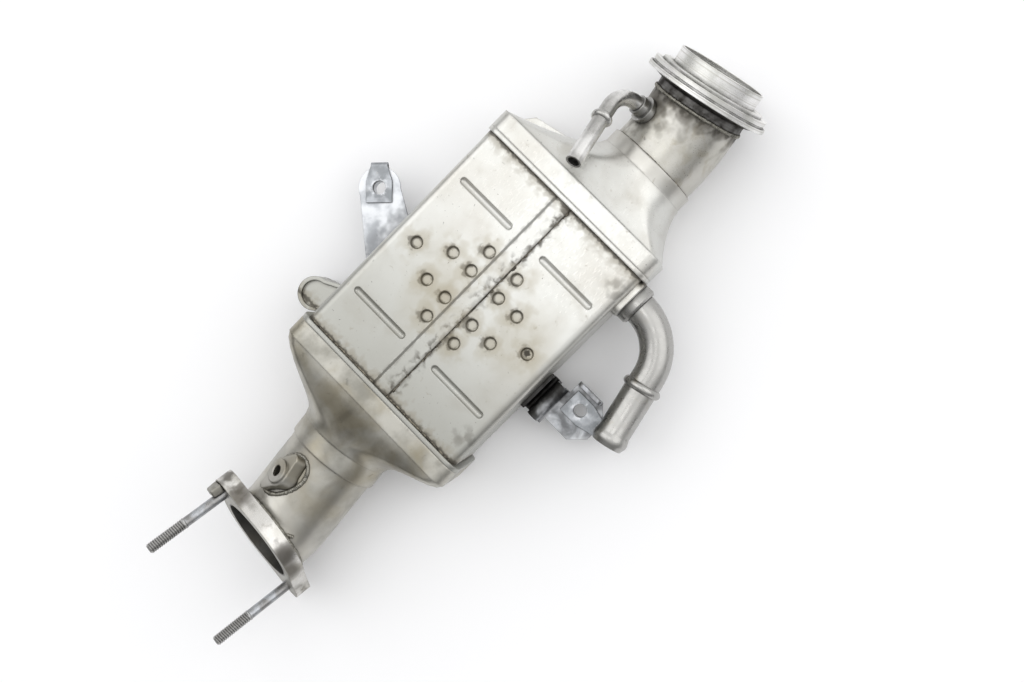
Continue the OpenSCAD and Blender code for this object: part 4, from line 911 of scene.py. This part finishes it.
class COOLER_OT_stage(bpy.types.Operator):
    """Sets up the pale floor, the soft light and the camera"""

    bl_idname = "cooler.stage"
    bl_label = "Set Up Studio"

    def execute(self, context):
        scene = context.scene
        half = scene.cooler_sizes.floor_w / 2
        low, high = CAD_BOX
        mesh = bpy.data.meshes.new("studio_floor")
        corners = [(-half, -half, low.z), (half, -half, low.z), (half, half, low.z), (-half, half, low.z)]
        mesh.from_pydata(corners, [], [(0, 1, 2, 3)])
        paper = bpy.data.materials.new("Matt white card")
        paper.use_nodes = True
        shader = paper.node_tree.nodes["Principled BSDF"]
        shader.inputs["Base Color"].default_value = (*scene.cooler_colours.floor, 1)
        shader.inputs["Roughness"].default_value = 0.9
        mesh.materials.append(paper)
        floor = bpy.data.objects.new("studio_floor", mesh)
        scene.collection.objects.link(floor)

        for name, (place, size, power) in LIGHTS.items():
            way = Vector(place)
            data = bpy.data.lights.new(name, "AREA")
            data.energy = power
            data.size = size
            lamp = bpy.data.objects.new(name, data)
            lamp.location = (low + high) / 2 + way
            lamp.rotation_euler = (-way).to_track_quat("-Z", "Y").to_euler()
            scene.collection.objects.link(lamp)

        world = bpy.data.worlds.new("Soft tent")
        world.use_nodes = True
        tree = world.node_tree
        tree.nodes.clear()
        look = add(tree, "ShaderNodeTexCoord").outputs["Generated"]
        toward = add(tree, "ShaderNodeVectorMath", {"operation": "DOT_PRODUCT"}, {0: look, 1: TENT_WAY})
        levels = {
            "Value": toward.outputs["Value"],
            "From Min": -0.1,
            "From Max": 0.9,
            "To Min": TENT_DIM,
            "To Max": TENT_BRIGHT,
        }
        tent = add(tree, "ShaderNodeMapRange", SMOOTH, levels).outputs["Result"]
        sky = add(tree, "ShaderNodeBackground", None, {"Color": (1.0, 1.0, 1.0, 1), "Strength": tent})
        add(tree, "ShaderNodeOutputWorld", None, {"Surface": sky.outputs[0]})
        scene.world = world
        scene.view_settings.view_transform = "Standard"

        data = bpy.data.cameras.new("photo_camera")
        data.sensor_width = CAMERA_SENSOR
        data.lens = CAMERA_LENS
        data.clip_start = 0.01
        data.clip_end = 50
        camera = bpy.data.objects.new("photo_camera", data)
        turn = Matrix(CAMERA_AXES).transposed().to_4x4()
        camera.matrix_world = Matrix.Translation(SHELL + Vector(CAMERA_PLACE) * MM) @ turn
        scene.collection.objects.link(camera)
        scene.camera = camera
        return {"FINISHED"}


class COOLER_PT_panel(bpy.types.Panel):
    """Lists the cooler's operators, colours and sizes"""

    bl_label = "Exhaust Gas Cooler"
    bl_idname = "COOLER_PT_panel"
    bl_space_type = "VIEW_3D"
    bl_region_type = "UI"
    bl_category = "Cooler"

    def draw(self, context):
        for operator in OPERATORS:
            self.layout.operator(operator.bl_idname)
        for group in (context.scene.cooler_colours, context.scene.cooler_sizes):
            box = self.layout.box()
            for key in group.__annotations__:
                box.prop(group, key)


OPERATORS = (
    COOLER_OT_finishes,
    COOLER_OT_welds,
    COOLER_OT_lug,
    COOLER_OT_residue,
    COOLER_OT_studs,
    COOLER_OT_stage,
)
CLASSES = (CoolerColours, CoolerSizes, *OPERATORS, COOLER_PT_panel)


def register():
    for cls in CLASSES:
        bpy.utils.register_class(cls)
    bpy.types.Scene.cooler_colours = PointerProperty(type=CoolerColours)
    bpy.types.Scene.cooler_sizes = PointerProperty(type=CoolerSizes)


def unregister():
    del bpy.types.Scene.cooler_sizes
    del bpy.types.Scene.cooler_colours
    for cls in reversed(CLASSES):
        bpy.utils.unregister_class(cls)


def main():
    register()
    bpy.ops.cooler.finishes()
    bpy.ops.cooler.welds()
    bpy.ops.cooler.lug()
    bpy.ops.cooler.residue()
    bpy.ops.cooler.studs()
    bpy.ops.cooler.stage()


if __name__ == "__main__":
    main()
